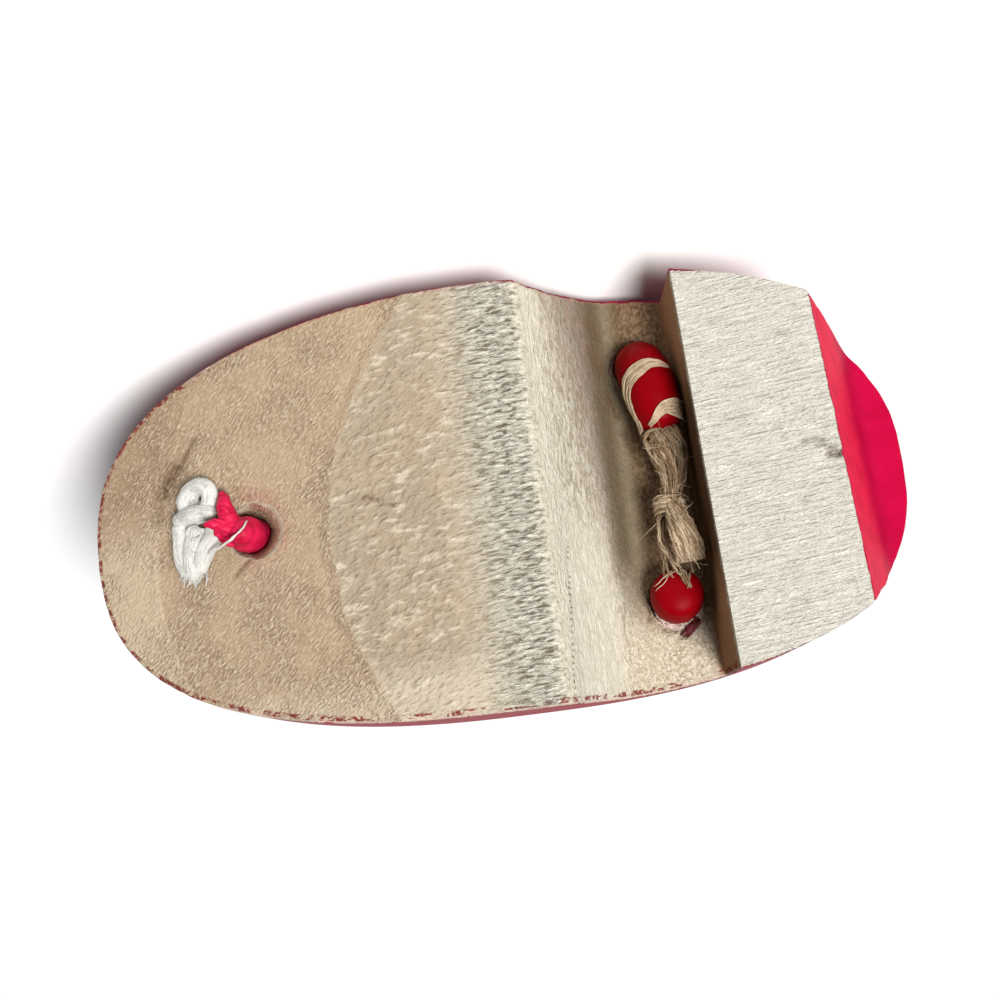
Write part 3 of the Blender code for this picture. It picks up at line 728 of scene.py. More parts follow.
def hole_cutter(name, profile, place, tear):
    """A closed turned cutter with a slightly torn surface, which carries the finish of the hole."""
    rings = []
    for radius, z in profile:
        ring = []
        for angle in around_circle(HOLE_SIDES):
            c, s = math.cos(angle), math.sin(angle)
            spot = Vector((place[0] + c, place[1] + s, z * 0.3))
            torn = radius + tear * noise.fractal(spot * 2.3, 1.0, 2.0, 3)
            ring.append((place[0] + torn * c, place[1] + torn * s, z))
        rings.append(ring)
    mesh = skin(name, np.array(rings))
    inside = np.ones((len(profile), HOLE_SIDES))
    inside[-2:] = FLARE_BORE
    inside = inside.ravel()
    even = np.ones(len(inside))
    store(mesh, "bore", inside)
    store(mesh, "forefoot", even)
    store(mesh, "ring", FLARE_RING * even)
    store(mesh, "stain", FLARE_STAIN * (inside < 1))
    store(mesh, "lacquer", -HEIGHT * even)
    return new_object(name, mesh)


def drilled(mesh):
    """The block with its three holes cut through, its deck and side wall flat-shaded, the rest smooth."""
    block = new_object("dai_block", mesh)
    front = hole_profile(FRONT_BORE, float(slant_height(FRONT_HOLE[0])), FRONT_FLARE, FRONT_FLARE_DEPTH)
    rear = hole_profile(REAR_BORE, SLOT_TOP, REAR_FLARE, REAR_FLARE_DEPTH)
    cutters = [
        hole_cutter("front_cutter", front, FRONT_HOLE, FRONT_TEAR),
        hole_cutter("left_cutter", rear, LEFT_HOLE, REAR_TEAR),
        hole_cutter("right_cutter", rear, RIGHT_HOLE, REAR_TEAR),
    ]
    for cutter in cutters:
        cut = block.modifiers.new(cutter.name, "BOOLEAN")
        cut.operation = "DIFFERENCE"
        cut.solver = "MANIFOLD"
        cut.object = cutter
    result = applied(block)
    for cutter in cutters:
        bpy.data.objects.remove(cutter, do_unlink=True)
    result.name = "dai"
    result.set_sharp_from_angle(angle=math.radians(SHARP_ANGLE))
    facing = vectors_of(result.polygons, "normal")
    middles = vectors_of(result.polygons, "center") / MM
    deck = (facing[:, 2] > FACING_UP) & (middles[:, 2] > HEIGHT - DECK_REACH)
    at_side = inside_outline(middles[:, 0], middles[:, 1])[0] < SIDE_REACH
    side = (np.abs(facing[:, 2]) < FACING_SIDEWAYS) & at_side
    result.polygons.foreach_set("use_smooth", ~(deck | side))
    return result


# Wooden base: finish
MIDDLE_TAN = (0.325, 0.265, 0.19)
TOE_TAN = (0.385, 0.285, 0.19)
TIP_BROWN = (0.26, 0.17, 0.105)
FLECK_PALE = (0.56, 0.49, 0.38)
TOE_PALE = (0.60, 0.50, 0.37)
RIDGE_PALE = (0.49, 0.46, 0.38)
RIDGE_WHITE = (0.66, 0.62, 0.52)
# Painted shade in the gaps between the ridge's ripples
RIDGE_GAP_SHADE = (0.20, 0.165, 0.12)
COVE_SAND = (0.38, 0.33, 0.24)
COVE_GREY = (0.57, 0.53, 0.44)
COVE_WHITE = (0.68, 0.635, 0.53)
COVE_BROWN = (0.21, 0.155, 0.10)
# Painted shade of the cove's far end, and the deeper painted shade by the heel block
COVE_SHADE = (0.175, 0.132, 0.100)
COVE_DEEP_SHADE = (0.085, 0.062, 0.032)
MOTTLE_PINK = (0.30, 0.205, 0.165)
# Brown of the recess: partly the wood's own, partly painted shade under the heel block
RECESS_BROWN_AND_SHADE = (0.15, 0.085, 0.045)
RECESS_TAN = (0.30, 0.205, 0.125)
NEAR_TAN = (0.42, 0.345, 0.245)
NEAR_PALE = (0.66, 0.58, 0.46)
NEAR_SHADE = (0.33, 0.20, 0.14)
# Painted shade on the heel block's front wall, and the tan that its ends get
WALL_SHADE = (0.085, 0.044, 0.022)
WALL_TAN = (0.30, 0.165, 0.09)
HEEL_GREY = (0.57, 0.545, 0.475)
HEEL_WHITE = (0.70, 0.675, 0.60)
SAW_SHADE = (0.34, 0.315, 0.265)
SPECK_BROWN = (0.11, 0.075, 0.05)
SMUDGE_BROWN = (0.12, 0.07, 0.04)
STAIN_PINK = (0.44, 0.16, 0.13)
# Painted shade inside the holes
BORE_SHADE = (0.16, 0.10, 0.06)
THIN_RED = (0.42, 0.17, 0.14)
ARRIS_PALE = (0.58, 0.46, 0.39)
SCAB_RED = (0.17, 0.008, 0.016)
CHIPPED_PINK = (0.72, 0.50, 0.44)
LACQUER_EDGE = (0.20, 0.010, 0.035)
LACQUER_LIGHT = (0.60, 0.012, 0.05)
LACQUER_DEEP = (0.40, 0.003, 0.038)
LACQUER_FLANK = (0.40, 0.012, 0.032)
LACQUER_SHADE = (0.26, 0.003, 0.022)
LACQUER_SCUFF = (0.52, 0.07, 0.10)
# Painted shade of the far side wall, which faces the floor
LACQUER_FAR_SHADE = (0.17, 0.005, 0.014)

# Smooth strip that a plane left in the near half of the cove, and the row of tool dots beside the ridge
STRIP_MIDDLE_X = -13.4
STRIP_HALF = 4.6
STRIP_FAR_Y = -6.0
DOTS_X = -8.4
DOTS_LEAN = -0.085
DOTS_MIDDLE_Y = -26.0
DOT_SPACING = 1.15

# Where each change of the finish, painted shade among them, starts and where it is full, across the shoe
NEAR_HALF = (9.0, -3.0)
NEAR_EDGE = (-26.0, -35.0)
TOE_NEAR_EDGE = (-29.0, -35.0)
NEAR_CORNER = (-22.0, -30.0)
DEEP_SHADE_SIDE = (-20.0, -11.0)
COVE_SHADE_SIDE = (-27.0, -19.0)
WALL_FAR_END = (11.0, 25.0)
WALL_NEAR_END = (-13.0, -26.0)
FAR_WALL = (0.0, 22.0)
FAR_RIM = (0.0, 15.0)

# The same along the shoe, with the runs and lean of the painted shade in the cove and recess
RIDGE_CREST = (-6.2, -4.0)
COVE_START = (-12.0, -7.0)
COVE_SHADE_LEAN = -0.12
COVE_SHADE_RUN = (-13.0, -22.0)
COVE_MOTTLE_RUN = (-12.0, -18.0)
COVE_END_SHADE_RUN = (-17.5, COVE_END_X)
COVE_DEEP_SHADE_RUN = (-17.0, -20.5)
COVE_NEAR_RUN = (-15.0, -22.0)
RECESS_DARK_RUN = (-28.0, -24.5)
RECESS_NEAR_RUN = (-34.0, -39.0)

# The same by the level of the grain's arcs
OUTER_RINGS = (33.4, 34.2)
TOE_BAND_RINGS = (68.2, 69.2)
FAR_TIP_RINGS = (60.0, 80.0)

# The same by the distance over the lacquer's edge, with less than 0 on bare wood
LACQUER_COVER = (-0.03, 0.12)
LACQUER_THIN = (-0.8, 0.1)
LACQUER_RIM = (1.0, 0.3)
LACQUER_DEPTH = (12.0, 25.0)
FAR_WALL_TOP = (30.0, 20.0)
WORN_ARRIS = (-0.75, -0.2)
SCAB_START = (-1.7, -1.2)
SCAB_END = (-0.35, -0.6)

# Numbers that each corner of the base carries for its finish
STORED = ("forefoot", "ridge", "cove", "recess", "heel", "wall", "bore")
STORED += ("ring", "lacquer", "chip", "flank", "dirt", "stain")


def wood_patterns(here):
    """What the base's colour and relief are made of: stored numbers, places on it, and grains."""
    wood = SimpleNamespace(**{name: attribute(here, name) for name in STORED})
    parts = node(here.tree, "ShaderNodeSeparateXYZ", {0: here}).outputs
    wood.here, wood.along, wood.across = here, Value(parts[0]), Value(parts[1])
    wood.fine = grain(here, 1.4, 3.0)
    wood.grit = grain(here, 2.3, 2.0, 0.6)
    wood.patch = span(grain(here, 0.16), 0.40, 0.58)
    wood.dashes = streaks(here, 40.0, (1.2, 3.0, 1.8), 1.5, 0.5, 0.5)
    wood.pebbles = streaks(here, 30.0, (0.6, 1.3, 0.9), 2.0)
    wood.flecks = streaks(here, 6.0, (0.30, 0.95, 0.6), 2.0, 0.5, 0.3)
    wood.ripples = streaks(here, 5.0, (0.40, 1.6, 0.6), 3.0, 0.55, 0.5)
    wood.saw = streaks(here, 6.0, (0.17, 1.9, 0.5), 3.5, 0.6, 0.3)
    wood.pits = streaks(here, 6.0, (1.1, 2.6, 1.1), 2.0, 0.55)
    wood.smears = streaks(here, 0.0, (1.3, 0.36, 0.8), 3.0, 0.55, 0.8)
    wood.sand = streaks(here, 0.0, (1.5, 1.0, 1.2), 3.0, 0.6, 0.6)
    wood.outer = span(wood.ring, *OUTER_RINGS)
    wood.inner = 1.0 - wood.outer
    wood.combed = wood.outer * span(grain(here, 0.1), 0.36, 0.6, 0.45, 1.0)
    wood.near_corner = span(wood.across, *NEAR_CORNER)
    wood.dark_side = span(wood.across, *DEEP_SHADE_SIDE)
    off_strip = abs(wood.along - STRIP_MIDDLE_X) + wood.fine * 0.8
    strip_end = span(wood.across, STRIP_FAR_Y + 10.0, STRIP_FAR_Y - 8.0)
    wood.strip = span(off_strip, STRIP_HALF + 1.4, STRIP_HALF - 0.8) * strip_end
    return wood


def tool_dots(wood):
    """A broken row of small dots along the cove side of the ridge, on the near half."""
    waver = grain(wood.here, 0.8)
    line = wood.along + (wood.across - DOTS_MIDDLE_Y) * -DOTS_LEAN + waver * 0.9 - 0.45
    beat = (wood.across * (2 * math.pi / DOT_SPACING) + waver * 6.0).sine()
    row = span(abs(line - DOTS_X), 0.36, 0.1) * span(beat, 0.0, 0.8)
    row = row * span(grain(wood.here, 0.3, 1.0), 0.36, 0.5)
    return row * span(wood.across, STRIP_FAR_Y, STRIP_FAR_Y - 8.0)


def forefoot_colour(wood):
    """Pale flecks on the middle of the forefoot, combed dashes on its toe, and a paler band at the tip."""
    broad = grain(wood.here, 0.085, 3.0)
    near = span(wood.across, *NEAR_HALF)
    raised = span(wood.flecks, 0.48, 0.72) * span(wood.patch, 0.0, 1.0, 0.4, 1.0)
    return painted(
        mix(wood.outer, MIDDLE_TAN, TOE_TAN),
        (span(broad, 0.62, 0.36, 0.0, 0.4), TOE_TAN),
        (span(wood.ring, *FAR_TIP_RINGS, 0.0, 0.6) * (1.0 - near), TIP_BROWN),
        (span(wood.ring, *TOE_BAND_RINGS) * near * 0.34, TOE_PALE),
        (wood.inner * span(wood.across, *NEAR_EDGE, 0.0, 0.5), FLECK_PALE),
        (wood.outer * span(wood.across, *TOE_NEAR_EDGE, 0.0, 0.4), FLECK_PALE),
        (span(wood.dashes, 0.50, 0.66) * wood.combed * 0.7, TOE_PALE),
        (span(wood.dashes, 0.48, 0.34) * wood.combed * 0.6, TIP_BROWN),
        (span(wood.pebbles, 0.58, 0.74) * wood.patch * wood.inner * 0.5, FLECK_PALE),
        (raised * wood.inner * 0.85, FLECK_PALE),
        (span(wood.pebbles, 0.44, 0.28) * wood.inner * 0.25, TIP_BROWN),
    )


def near_colour(wood):
    """Rough sandy wood in the near corner of the cove and recess."""
    grains = span(wood.sand * 0.45 + wood.grit * 0.55, 0.40, 0.60)
    rough = mix(grains, NEAR_TAN, NEAR_PALE)
    return mix(span(wood.along, *RECESS_NEAR_RUN, 0.0, 0.8), rough, NEAR_SHADE)


def cove_colour(wood, rough):
    """Smeared sandy cove, pale at its start and on its planed strip, mottled towards its end, with painted
    shade that deepens towards the heel block.
    """
    leaned = wood.along + wood.across * COVE_SHADE_LEAN
    shaded = span(wood.across, *COVE_SHADE_SIDE)
    mottle = span(grain(wood.here, 0.4, 4.0, 0.65), 0.48, 0.62)
    return painted(
        mix(span(wood.smears, 0.38, 0.62), COVE_SAND, COVE_GREY),
        (span(wood.sand, 0.42, 0.28) * 0.4, COVE_BROWN),
        (span(wood.sand, 0.54, 0.68) * 0.8, COVE_WHITE),
        (span(wood.along, *COVE_START, 0.0, 0.6), COVE_WHITE),
        (wood.strip * 0.75, COVE_GREY),
        (wood.strip * span(wood.smears, 0.5, 0.68, 0.0, 0.6), COVE_WHITE),
        # Painted shade: the heel block's shadow over the cove's far end, leaning across the shoe
        (span(leaned, *COVE_SHADE_RUN, 0.0, 0.9) * shaded, COVE_SHADE),
        (mottle * shaded * span(leaned, *COVE_MOTTLE_RUN) * 0.5, MOTTLE_PINK),
        # Painted shade: browner towards the cove's end, and deep painted shade at the end of its far half
        (span(wood.along, *COVE_END_SHADE_RUN, 0.0, 0.6) * (1.0 - wood.near_corner), COVE_BROWN),
        (span(wood.along, *COVE_DEEP_SHADE_RUN, 0.0, 0.75) * wood.dark_side, COVE_DEEP_SHADE),
        (span(wood.along, *COVE_NEAR_RUN) * wood.near_corner, rough),
    )


def bare_colour(wood):
    """Bare wood of the underside, stretch by stretch, with its specks, dirt and stains, and painted shade
    in the recess, on the heel's front wall and in the holes.
    """
    rough = near_colour(wood)
    # The recess: brown partly of the wood and partly painted shade under the heel block, with deep painted
    # shade on its far side
    recess = painted(
        mix(span(wood.sand, 0.35, 0.65), RECESS_BROWN_AND_SHADE, RECESS_TAN),
        (span(wood.along, *RECESS_DARK_RUN, 0.0, 0.7) * wood.dark_side, COVE_DEEP_SHADE),
        (wood.near_corner, rough),
    )
    heel = painted(
        mix(span(wood.saw, 0.46, 0.30, 0.0, 0.6), HEEL_GREY, SAW_SHADE),
        (span(wood.saw, 0.54, 0.68), HEEL_WHITE),
        (span(wood.pits, 0.34, 0.24, 0.0, 0.7), SAW_SHADE),
    )
    # Ridge ripples, with painted shade in the gaps between them
    ridge = mix(span(wood.ripples, 0.49, 0.35), RIDGE_PALE, RIDGE_GAP_SHADE)
    ridge = mix(span(wood.ripples, 0.51, 0.64), ridge, RIDGE_WHITE)
    wall_ends = span(wood.across, *WALL_FAR_END).or_more(span(wood.across, *WALL_NEAR_END))
    spots = specks(wood.here, 3.4, 0.36) * span(grain(wood.here, 0.13, 1.0), 0.5, 0.62)
    return painted(
        mix(wood.forefoot, COVE_SAND, forefoot_colour(wood)),
        (wood.cove, cove_colour(wood, rough)),
        (wood.ridge, ridge),
        (wood.recess, recess),
        (wood.flank * 0.9, CHIPPED_PINK),
        (wood.heel, heel),
        # Heel block's front wall: painted shade, lighter tan towards both ends
        (wood.wall, mix(wall_ends, WALL_SHADE, WALL_TAN)),
        (spots * 0.7, SPECK_BROWN),
        (tool_dots(wood) * 0.8, COVE_BROWN),
        # Painted shade inside the holes
        (wood.bore * 0.85, BORE_SHADE),
        (wood.dirt * span(wood.fine, 0.25, 0.62, 0.35, 1.0) * 0.95, SMUDGE_BROWN),
        (wood.stain * span(wood.pebbles, 0.3, 0.7, 0.4, 1.0), STAIN_PINK),
    )


def lacquer_colour(wood, brushed, scuffs):
    """Red lacquer, deeper up the heel, with painted shade on the far wall that faces the floor, dark at its
    edge, brushed and scuffed.
    """
    far_wall_shade = span(wood.across, *FAR_WALL) * span(wood.lacquer, *FAR_WALL_TOP)
    rim = span(wood.lacquer, *LACQUER_RIM) * (1.0 - wood.flank) * span(wood.across, *FAR_RIM, 0.7, 1.0)
    return painted(
        mix(span(wood.lacquer, *LACQUER_DEPTH), LACQUER_LIGHT, LACQUER_DEEP),
        # Painted shade on the far side wall, which faces the floor
        (wood.flank, mix(far_wall_shade, LACQUER_FLANK, LACQUER_FAR_SHADE)),
        (rim, LACQUER_EDGE),
        (span(brushed, 0.42, 0.68, 0.0, 0.35), LACQUER_SHADE),
        (scuffs * 0.18, LACQUER_SCUFF),
    )


def wood_relief(wood, cover):
    """Fine relief over the carved shape, in millimetres, level where lacquer covers the wood."""
    crest = span(wood.along, *RIDGE_CREST)
    height = (wood.dashes - 0.5) * wood.forefoot * wood.combed
    height = height + (wood.pebbles * 0.75 + wood.flecks * 0.7 - 0.725) * wood.forefoot * wood.inner
    height = height + (wood.ripples - 0.5) * wood.ridge * crest * 2.5
    height = height + (wood.saw + wood.pits * 0.7) * wood.heel
    smoothed = span(wood.strip, 0.0, 1.0, 1.0, 0.55)
    height = height + (wood.sand * 0.5 + wood.smears * 0.5) * wood.cove * smoothed
    height = height + wood.sand * wood.recess * 0.8 + wood.grit * 0.08
    return height * (1.0 - cover) + cover * 0.3


def dai_material():
    """Bare wood with its grain, saw marks and dirt, and painted shade in the cove, recess and holes, under
    red lacquer that is chipped along its edge.
    """
    material, here = new_material("wood_and_lacquer")
    wood = wood_patterns(here)
    ragged = grain(here, 0.42) * 1.6 + wood.fine * 0.7 - 1.15
    edge = ragged * wood.chip + wood.lacquer
    thin = span(edge, *LACQUER_THIN) * span(wood.sand, 0.3, 0.62, 0.35, 1.0)
    worn = span(wood.chip, 0.5, 0.75) * (1.0 - wood.heel)
    scabs = span(streaks(here, 0.0, (0.17, 0.6, 0.6), 3.0, 0.6), 0.46, 0.52) * worn
    scabs = scabs * span(wood.fine, 0.36, 0.5)
    scabs = scabs * span(wood.lacquer, *SCAB_START) * span(wood.lacquer, *SCAB_END)
    cover = span(edge, *LACQUER_COVER)
    brushed = streaks(here, 0.0, (0.035, 0.22, 0.22), 4.0, 0.6, 0.4)
    scuffs = span(grain(here, 0.9, 3.0, 0.6), 0.56, 0.72) * span(brushed, 0.5, 0.36)
    colour = painted(
        bare_colour(wood),
        (thin * wood.chip * 0.7, THIN_RED),
        (span(wood.lacquer, *WORN_ARRIS) * worn * 0.7, ARRIS_PALE),
        (scabs * 0.9, SCAB_RED),
        (cover, lacquer_colour(wood, brushed, scuffs)),
    )
    roughness = span(cover, 0.0, 1.0, 0.85, 0.34) + cover * scuffs * 0.2
    height = wood_relief(wood, cover)
    return finished(material, colour, roughness, specular=0.004, height=height, depth=1.0)


add_piece("dai_carved", drilled(base_block()), dai_material(), ("dai",))


# Strap
STRAP_DOME = 0.55
DOME_ANGLES = (20.0, 40.0, 58.0, 72.0, 83.0)
APEX_ROW = (49.5, 0.0, 43.0, 7.4, 6.4, 0.0)
STRAP_STEPS = 9
STRAP_SIDES = 44

# Strap ends, from the hole on: x, y, distance below the deck's underside, diameter and lean of the section
LEFT_END_ROWS = (
    (-28.6, 25.0, 0.0, 9.2, 90.0),
    (-28.6, 24.4, 2.9, 9.8, 112.0),
    (-28.9, 22.6, 5.5, 10.3, 135.0),
    (-29.6, 19.8, 7.0, 10.3, 158.0),
    (-30.2, 16.8, 7.5, 10.1, 175.0),
    (-30.7, 14.0, 7.6, 9.4, 180.0),
    (-30.9, 12.4, 7.6, 8.6, 180.0),
)
RIGHT_END_ROWS = (
    (-29.4, -21.9, 0.0, 9.3, -90.0),
    (-29.4, -21.8, 2.3, 9.8, -90.0),
    (-29.4, -21.6, 4.7, 10.4, -92.0),
    (-29.5, -21.2, 6.9, 9.6, -96.0),
)

# Arms: x, y, height over the deck, width, thickness, lean, and how much nearer the middle the right arm is
ARM_ROWS = (
    (-26.4, 25.6, 5.6, 10.2, 8.2, 84.0, 1.9),
    (-22.0, 26.8, 13.0, 12.4, 7.6, 74.0, 0.9),
    (-12.0, 27.2, 20.2, 13.6, 7.2, 60.0, 0.3),
    (2.0, 25.8, 23.6, 14.0, 7.0, 50.0, 0.0),
    (17.0, 21.2, 21.8, 13.4, 7.0, 42.0, 0.0),
    (31.0, 14.8, 17.2, 11.4, 7.0, 32.0, 0.0),
    (42.2, 9.2, 13.0, 8.8, 6.8, 18.0, 0.0),
    (48.0, 5.0, 11.3, 7.8, 6.5, 6.0, 0.0),
)


def smooth_rows(rows, steps):
    """Catmull-Rom rows through the given rows, with steps new rows for each old one."""
    table = np.array(rows, dtype=float)
    padded = np.vstack((2 * table[0] - table[1], table, 2 * table[-1] - table[-2]))
    result = []
    for index in range(1, len(padded) - 2):
        before, start, end, after = padded[index - 1:index + 3]
        for step in range(steps):
            s = step / steps
            result.append(0.5 * (
                2 * start
                + (end - before) * s
                + (2 * before - 5 * start + 4 * end - after) * s ** 2
                + (3 * start - before - 3 * end + after) * s ** 3
            ))
    result.append(table[-1])
    return np.array(result)


def square_to(path, out):
    """The ways out and across at each place of a path, square to it, from a rough way out."""
    tangents = unit(np.gradient(path, axis=0))
    along = np.einsum("ij,ij->i", np.broadcast_to(out, tangents.shape), tangents)
    out = unit(out - tangents * along[:, None])
    return out, np.cross(tangents, out)


def oval_rings(rows, sides):
    """Oval sections along rows of x, y, z, width, thickness and lean, and the way out of each corner."""
    places = rows[:, :3]
    lean = np.radians(rows[:, 5])
    out, across = square_to(places, np.column_stack((np.zeros(len(rows)), np.sin(lean), np.cos(lean))))
    angles = around_circle(sides)
    wide = across[:, None, :] * np.cos(angles)[None, :, None]
    thick = out[:, None, :] * np.sin(angles)[None, :, None]
    rings = places[:, None, :] + wide * rows[:, 3, None, None] / 2 + thick * rows[:, 4, None, None] / 2
    return rings, wide + thick


def strap_end_rows(end_rows):
    """Rows of one strap end, from its domed tip in the cove back up through the deck."""
    rows = [(x, y, SLOT_TOP - under, size, size, lean) for x, y, under, size, lean in end_rows]
    x, y, z, *section = rows[0]
    deck = HEIGHT - SLOT_TOP
    rows = [(x, y, z + up, *section) for up in (deck, deck / 2)] + rows
    last = np.array(rows[-1])
    ahead = unit(last[:3] - np.array(rows[-2][:3]))
    for angle in np.radians(DOME_ANGLES):
        new = last.copy()
        new[:3] += ahead * STRAP_DOME * last[3] / 2 * math.sin(angle)
        new[3:5] *= math.cos(angle)
        rows.append(tuple(new))
    return rows[::-1]


def arm_rows(side):
    rows = []
    for x, y, over, width, thick, lean, right_in in ARM_ROWS:
        inward = right_in if side < 0 else 0.0
        rows.append((x, side * (y - inward), HEIGHT + over, width, thick, side * lean))
    return rows


# Strap's surface: depth and size of its lumps, its wrinkles and their pitch, and its seam
LUMP_DEPTH = 0.16
LUMP_SIZE = 6.5
WRINKLE_DEPTH = 0.2
WRINKLE_PITCH = 3.1
SEAM_DEPTH = 0.55
SEAM_HALF = 0.09
SEAM_ANGLE = 1.5 * math.pi
LIFT_IN_HOLE = 0.1


def strap_mesh():
    """The stuffed tube: pulled in along its seam, wrinkled at its bends and a little lumpy all over."""
    rows = strap_end_rows(LEFT_END_ROWS) + arm_rows(1) + [APEX_ROW]
    rows = smooth_rows(rows + arm_rows(-1)[::-1] + strap_end_rows(RIGHT_END_ROWS)[::-1], STRAP_STEPS)
    rings, out = oval_rings(rows, STRAP_SIDES)
    ahead = np.gradient(rows[:, :3], axis=0)
    steps = np.linalg.norm(ahead, axis=1)
    turning = np.linalg.norm(np.gradient(unit(ahead), axis=0), axis=1)
    bent = ease(turning / steps, 0.04, 0.16)
    length = np.cumsum(steps)
    angle = around_circle(STRAP_SIDES)
    flat = rings.reshape(-1, 3)
    waver = field(flat, 4.0, 21.0).reshape(rings.shape[:2])
    lumps = LUMP_DEPTH * field(flat, LUMP_SIZE, 23.0).reshape(rings.shape[:2])
    folds = np.cos(2 * math.pi * (length[:, None] / WRINKLE_PITCH + 0.35 * waver)) - 0.4
    inner = 0.5 - 0.5 * np.sin(angle)
    wrinkles = WRINKLE_DEPTH * bent[:, None] * inner[None, :] * folds
    seam = -SEAM_DEPTH * np.exp(-((angle - SEAM_ANGLE) / SEAM_HALF) ** 2)
    over_deck = ease(rows[:, 2], HEIGHT + 2.0, HEIGHT + 9.0)
    lift = lumps + wrinkles + seam[None, :] * over_deck[:, None]
    lift *= ease(rows[:, 4], 1.0, 5.0)[:, None]
    in_hole = (rows[:, 2] > SLOT_TOP - 2.0) & (rows[:, 2] < HEIGHT + 2.0)
    lift[in_hole] = np.minimum(lift[in_hole], LIFT_IN_HOLE)
    return skin("hanao", rings + out * lift[:, :, None])


def cloth_material(name, tones, blotches, weave, worn, depth, roughness, specular):
    """Red cloth in two broad tones, with a close weave that is paler where it stands up."""
    material, here = new_material(name)
    woven = grain(here, *weave)
    colour = mix(span(grain(here, blotches, 3.0), 0.3, 0.7), tones[0], tones[1])
    colour = mix(span(woven, *worn), colour, tones[2])
    return finished(material, colour, roughness, specular, woven, depth)


STRAP_REDS = ((0.165, 0.0004, 0.0022), (0.22, 0.0007, 0.0036), (0.27, 0.002, 0.007))
STRAP = cloth_material(
    "strap_cloth",
    STRAP_REDS,
    blotches=0.12,
    weave=(5.0, 2.0),
    worn=(0.35, 0.75, 0.0, 0.2),
    depth=0.05,
    roughness=0.34,
    specular=0.03,
)
hanao = add_piece("hanao", strap_mesh(), STRAP, ("hanao_strap",))


# Strands and cords
YARN_STRANDS = 3
YARN_RADIUS = 0.2
STRAND_STEPS = 7
STRAND_SIDES = 4
BUNDLE_STEPS = 6
HAIR_STEPS = 10
SEED_REACH = 90.0
FOLD_STEPS = 6
FOLD_SIDES = 24
FOLD_DOME = (30.0, 60.0, 80.0)


def tube_points(path, radii, sides):
    """Rings of a thin tube round a path, turned along with it so that it doesn't twist."""
    tangents = unit(np.gradient(path, axis=0))
    side = np.cross(tangents[0], (0.31, 0.52, 0.8))
    rings = []
    angles = around_circle(sides)
    for place, tangent, radius in zip(path, tangents, radii):
        side = unit(side - tangent * side.dot(tangent))
        other = np.cross(tangent, side)
        rings.append(place + radius * (np.outer(np.cos(angles), side) + np.outer(np.sin(angles), other)))
    return np.array(rings)


def strand_mesh(name, strands, sides=STRAND_SIDES):
    """Many thin closed tubes as one mesh. Each strand is a path, its radii and a tone from 0 to 1."""
    points, faces, tones = [], [], []
    count = 0
    for path, radii, tone in strands:
        rings = tube_points(path, radii, sides)
        rows = len(rings)
        faces += grid_faces(rows, sides, count, around=True)
        faces.append(tuple(range(count + sides - 1, count - 1, -1)))
        faces.append(tuple(range(count + (rows - 1) * sides, count + rows * sides)))
        points.append(rings.reshape(-1, 3))
        tones.append(np.full(rows * sides, tone))
        count += rows * sides
    mesh = mesh_from_arrays(name, np.vstack(points), faces)
    turn_outward(mesh)
    store(mesh, "tone", np.concatenate(tones))
    return mesh


def tapered(count, radius, tip=0.35, share=0.15):
    """Radii along a strand that thin out at both ends."""
    along = np.linspace(0.0, 1.0, count)
    ends = np.minimum(along, 1 - along) / share
    return radius * (tip + (1 - tip) * np.clip(ends, 0.0, 1.0))


def wandering(path, size, amount, rng):
    """The path pushed about by smooth noise, a different way each time."""
    seed = rng.uniform(0.0, SEED_REACH)
    push = [field(path, size, seed + shift) for shift in (0.0, 37.3, 71.9)]
    return path + amount * np.column_stack(push)


def strand(path, size, amount, rng, radius, tones, spread=(), ends=()):
    """A strand that wanders off a path by an amount, over a size, with its tone and radius drawn."""
    path = wandering(path, size, amount, rng)
    if spread:
        radius = radius * rng.uniform(*spread)
    return path, tapered(len(path), radius, *ends), rng.uniform(*tones)


def bundle(sections, groups, radius, rng, twist, loose):
    """Yarns of a few twisted strands that share a bundle of oval sections x, y, z, width and thickness."""
    table = smooth_rows(sections, BUNDLE_STEPS)
    out, across = square_to(table[:, :3], np.array((0.0, 0.0, -1.0)))
    along = np.linspace(0.0, 1.0, len(table))
    run = np.cumsum(np.linalg.norm(np.gradient(table[:, :3], axis=0), axis=1))
    strands = []
    for _ in range(groups):
        angle = rng.uniform(0.0, 2 * math.pi) + twist * along
        share = math.sqrt(rng.uniform(0.02, 1.0))
        wide = table[:, 3] / 2 * share * np.cos(angle)
        thick = table[:, 4] / 2 * share * np.sin(angle)
        path = table[:, :3] + across * wide[:, None] + out * thick[:, None]
        path = wandering(path, 2.4, loose, rng)
        tone = rng.uniform(0.0, 1.0)
        pitch = rng.uniform(3.0, 6.0)
        for index in range(YARN_STRANDS):
            turn = 2 * math.pi * (run / pitch + index / YARN_STRANDS)
            ply = path + YARN_RADIUS * (across * np.cos(turn)[:, None] + out * np.sin(turn)[:, None])
            ply = wandering(ply, 1.1, 0.12, rng)
            size = radius * rng.uniform(0.7, 1.3)
            strands.append((ply, tapered(len(ply), size), np.clip(tone + rng.normal() * 0.2, 0.0, 1.0)))
    return strands


def loose_hairs(starts, count, length, radius, rng):
    """Fine curled hairs that stand off the given points."""
    along = np.linspace(0.0, 1.0, HAIR_STEPS)[:, None]
    hairs = []
    for _ in range(count):
        place = starts[rng.integers(len(starts))]
        heading = unit(rng.normal(size=3) * (1.0, 1.0, 0.6) + (0.0, 0.0, -0.4))
        curl = rng.normal(size=3)
        run = length * rng.uniform(0.4, 1.2)
        path = place + run * (heading * along + 0.45 * curl * along ** 2)
        thin = tapered(HAIR_STEPS, radius * rng.uniform(0.7, 1.2), 0.5)
        hairs.append((path, thin, rng.uniform(0.3, 1.0)))
    return hairs


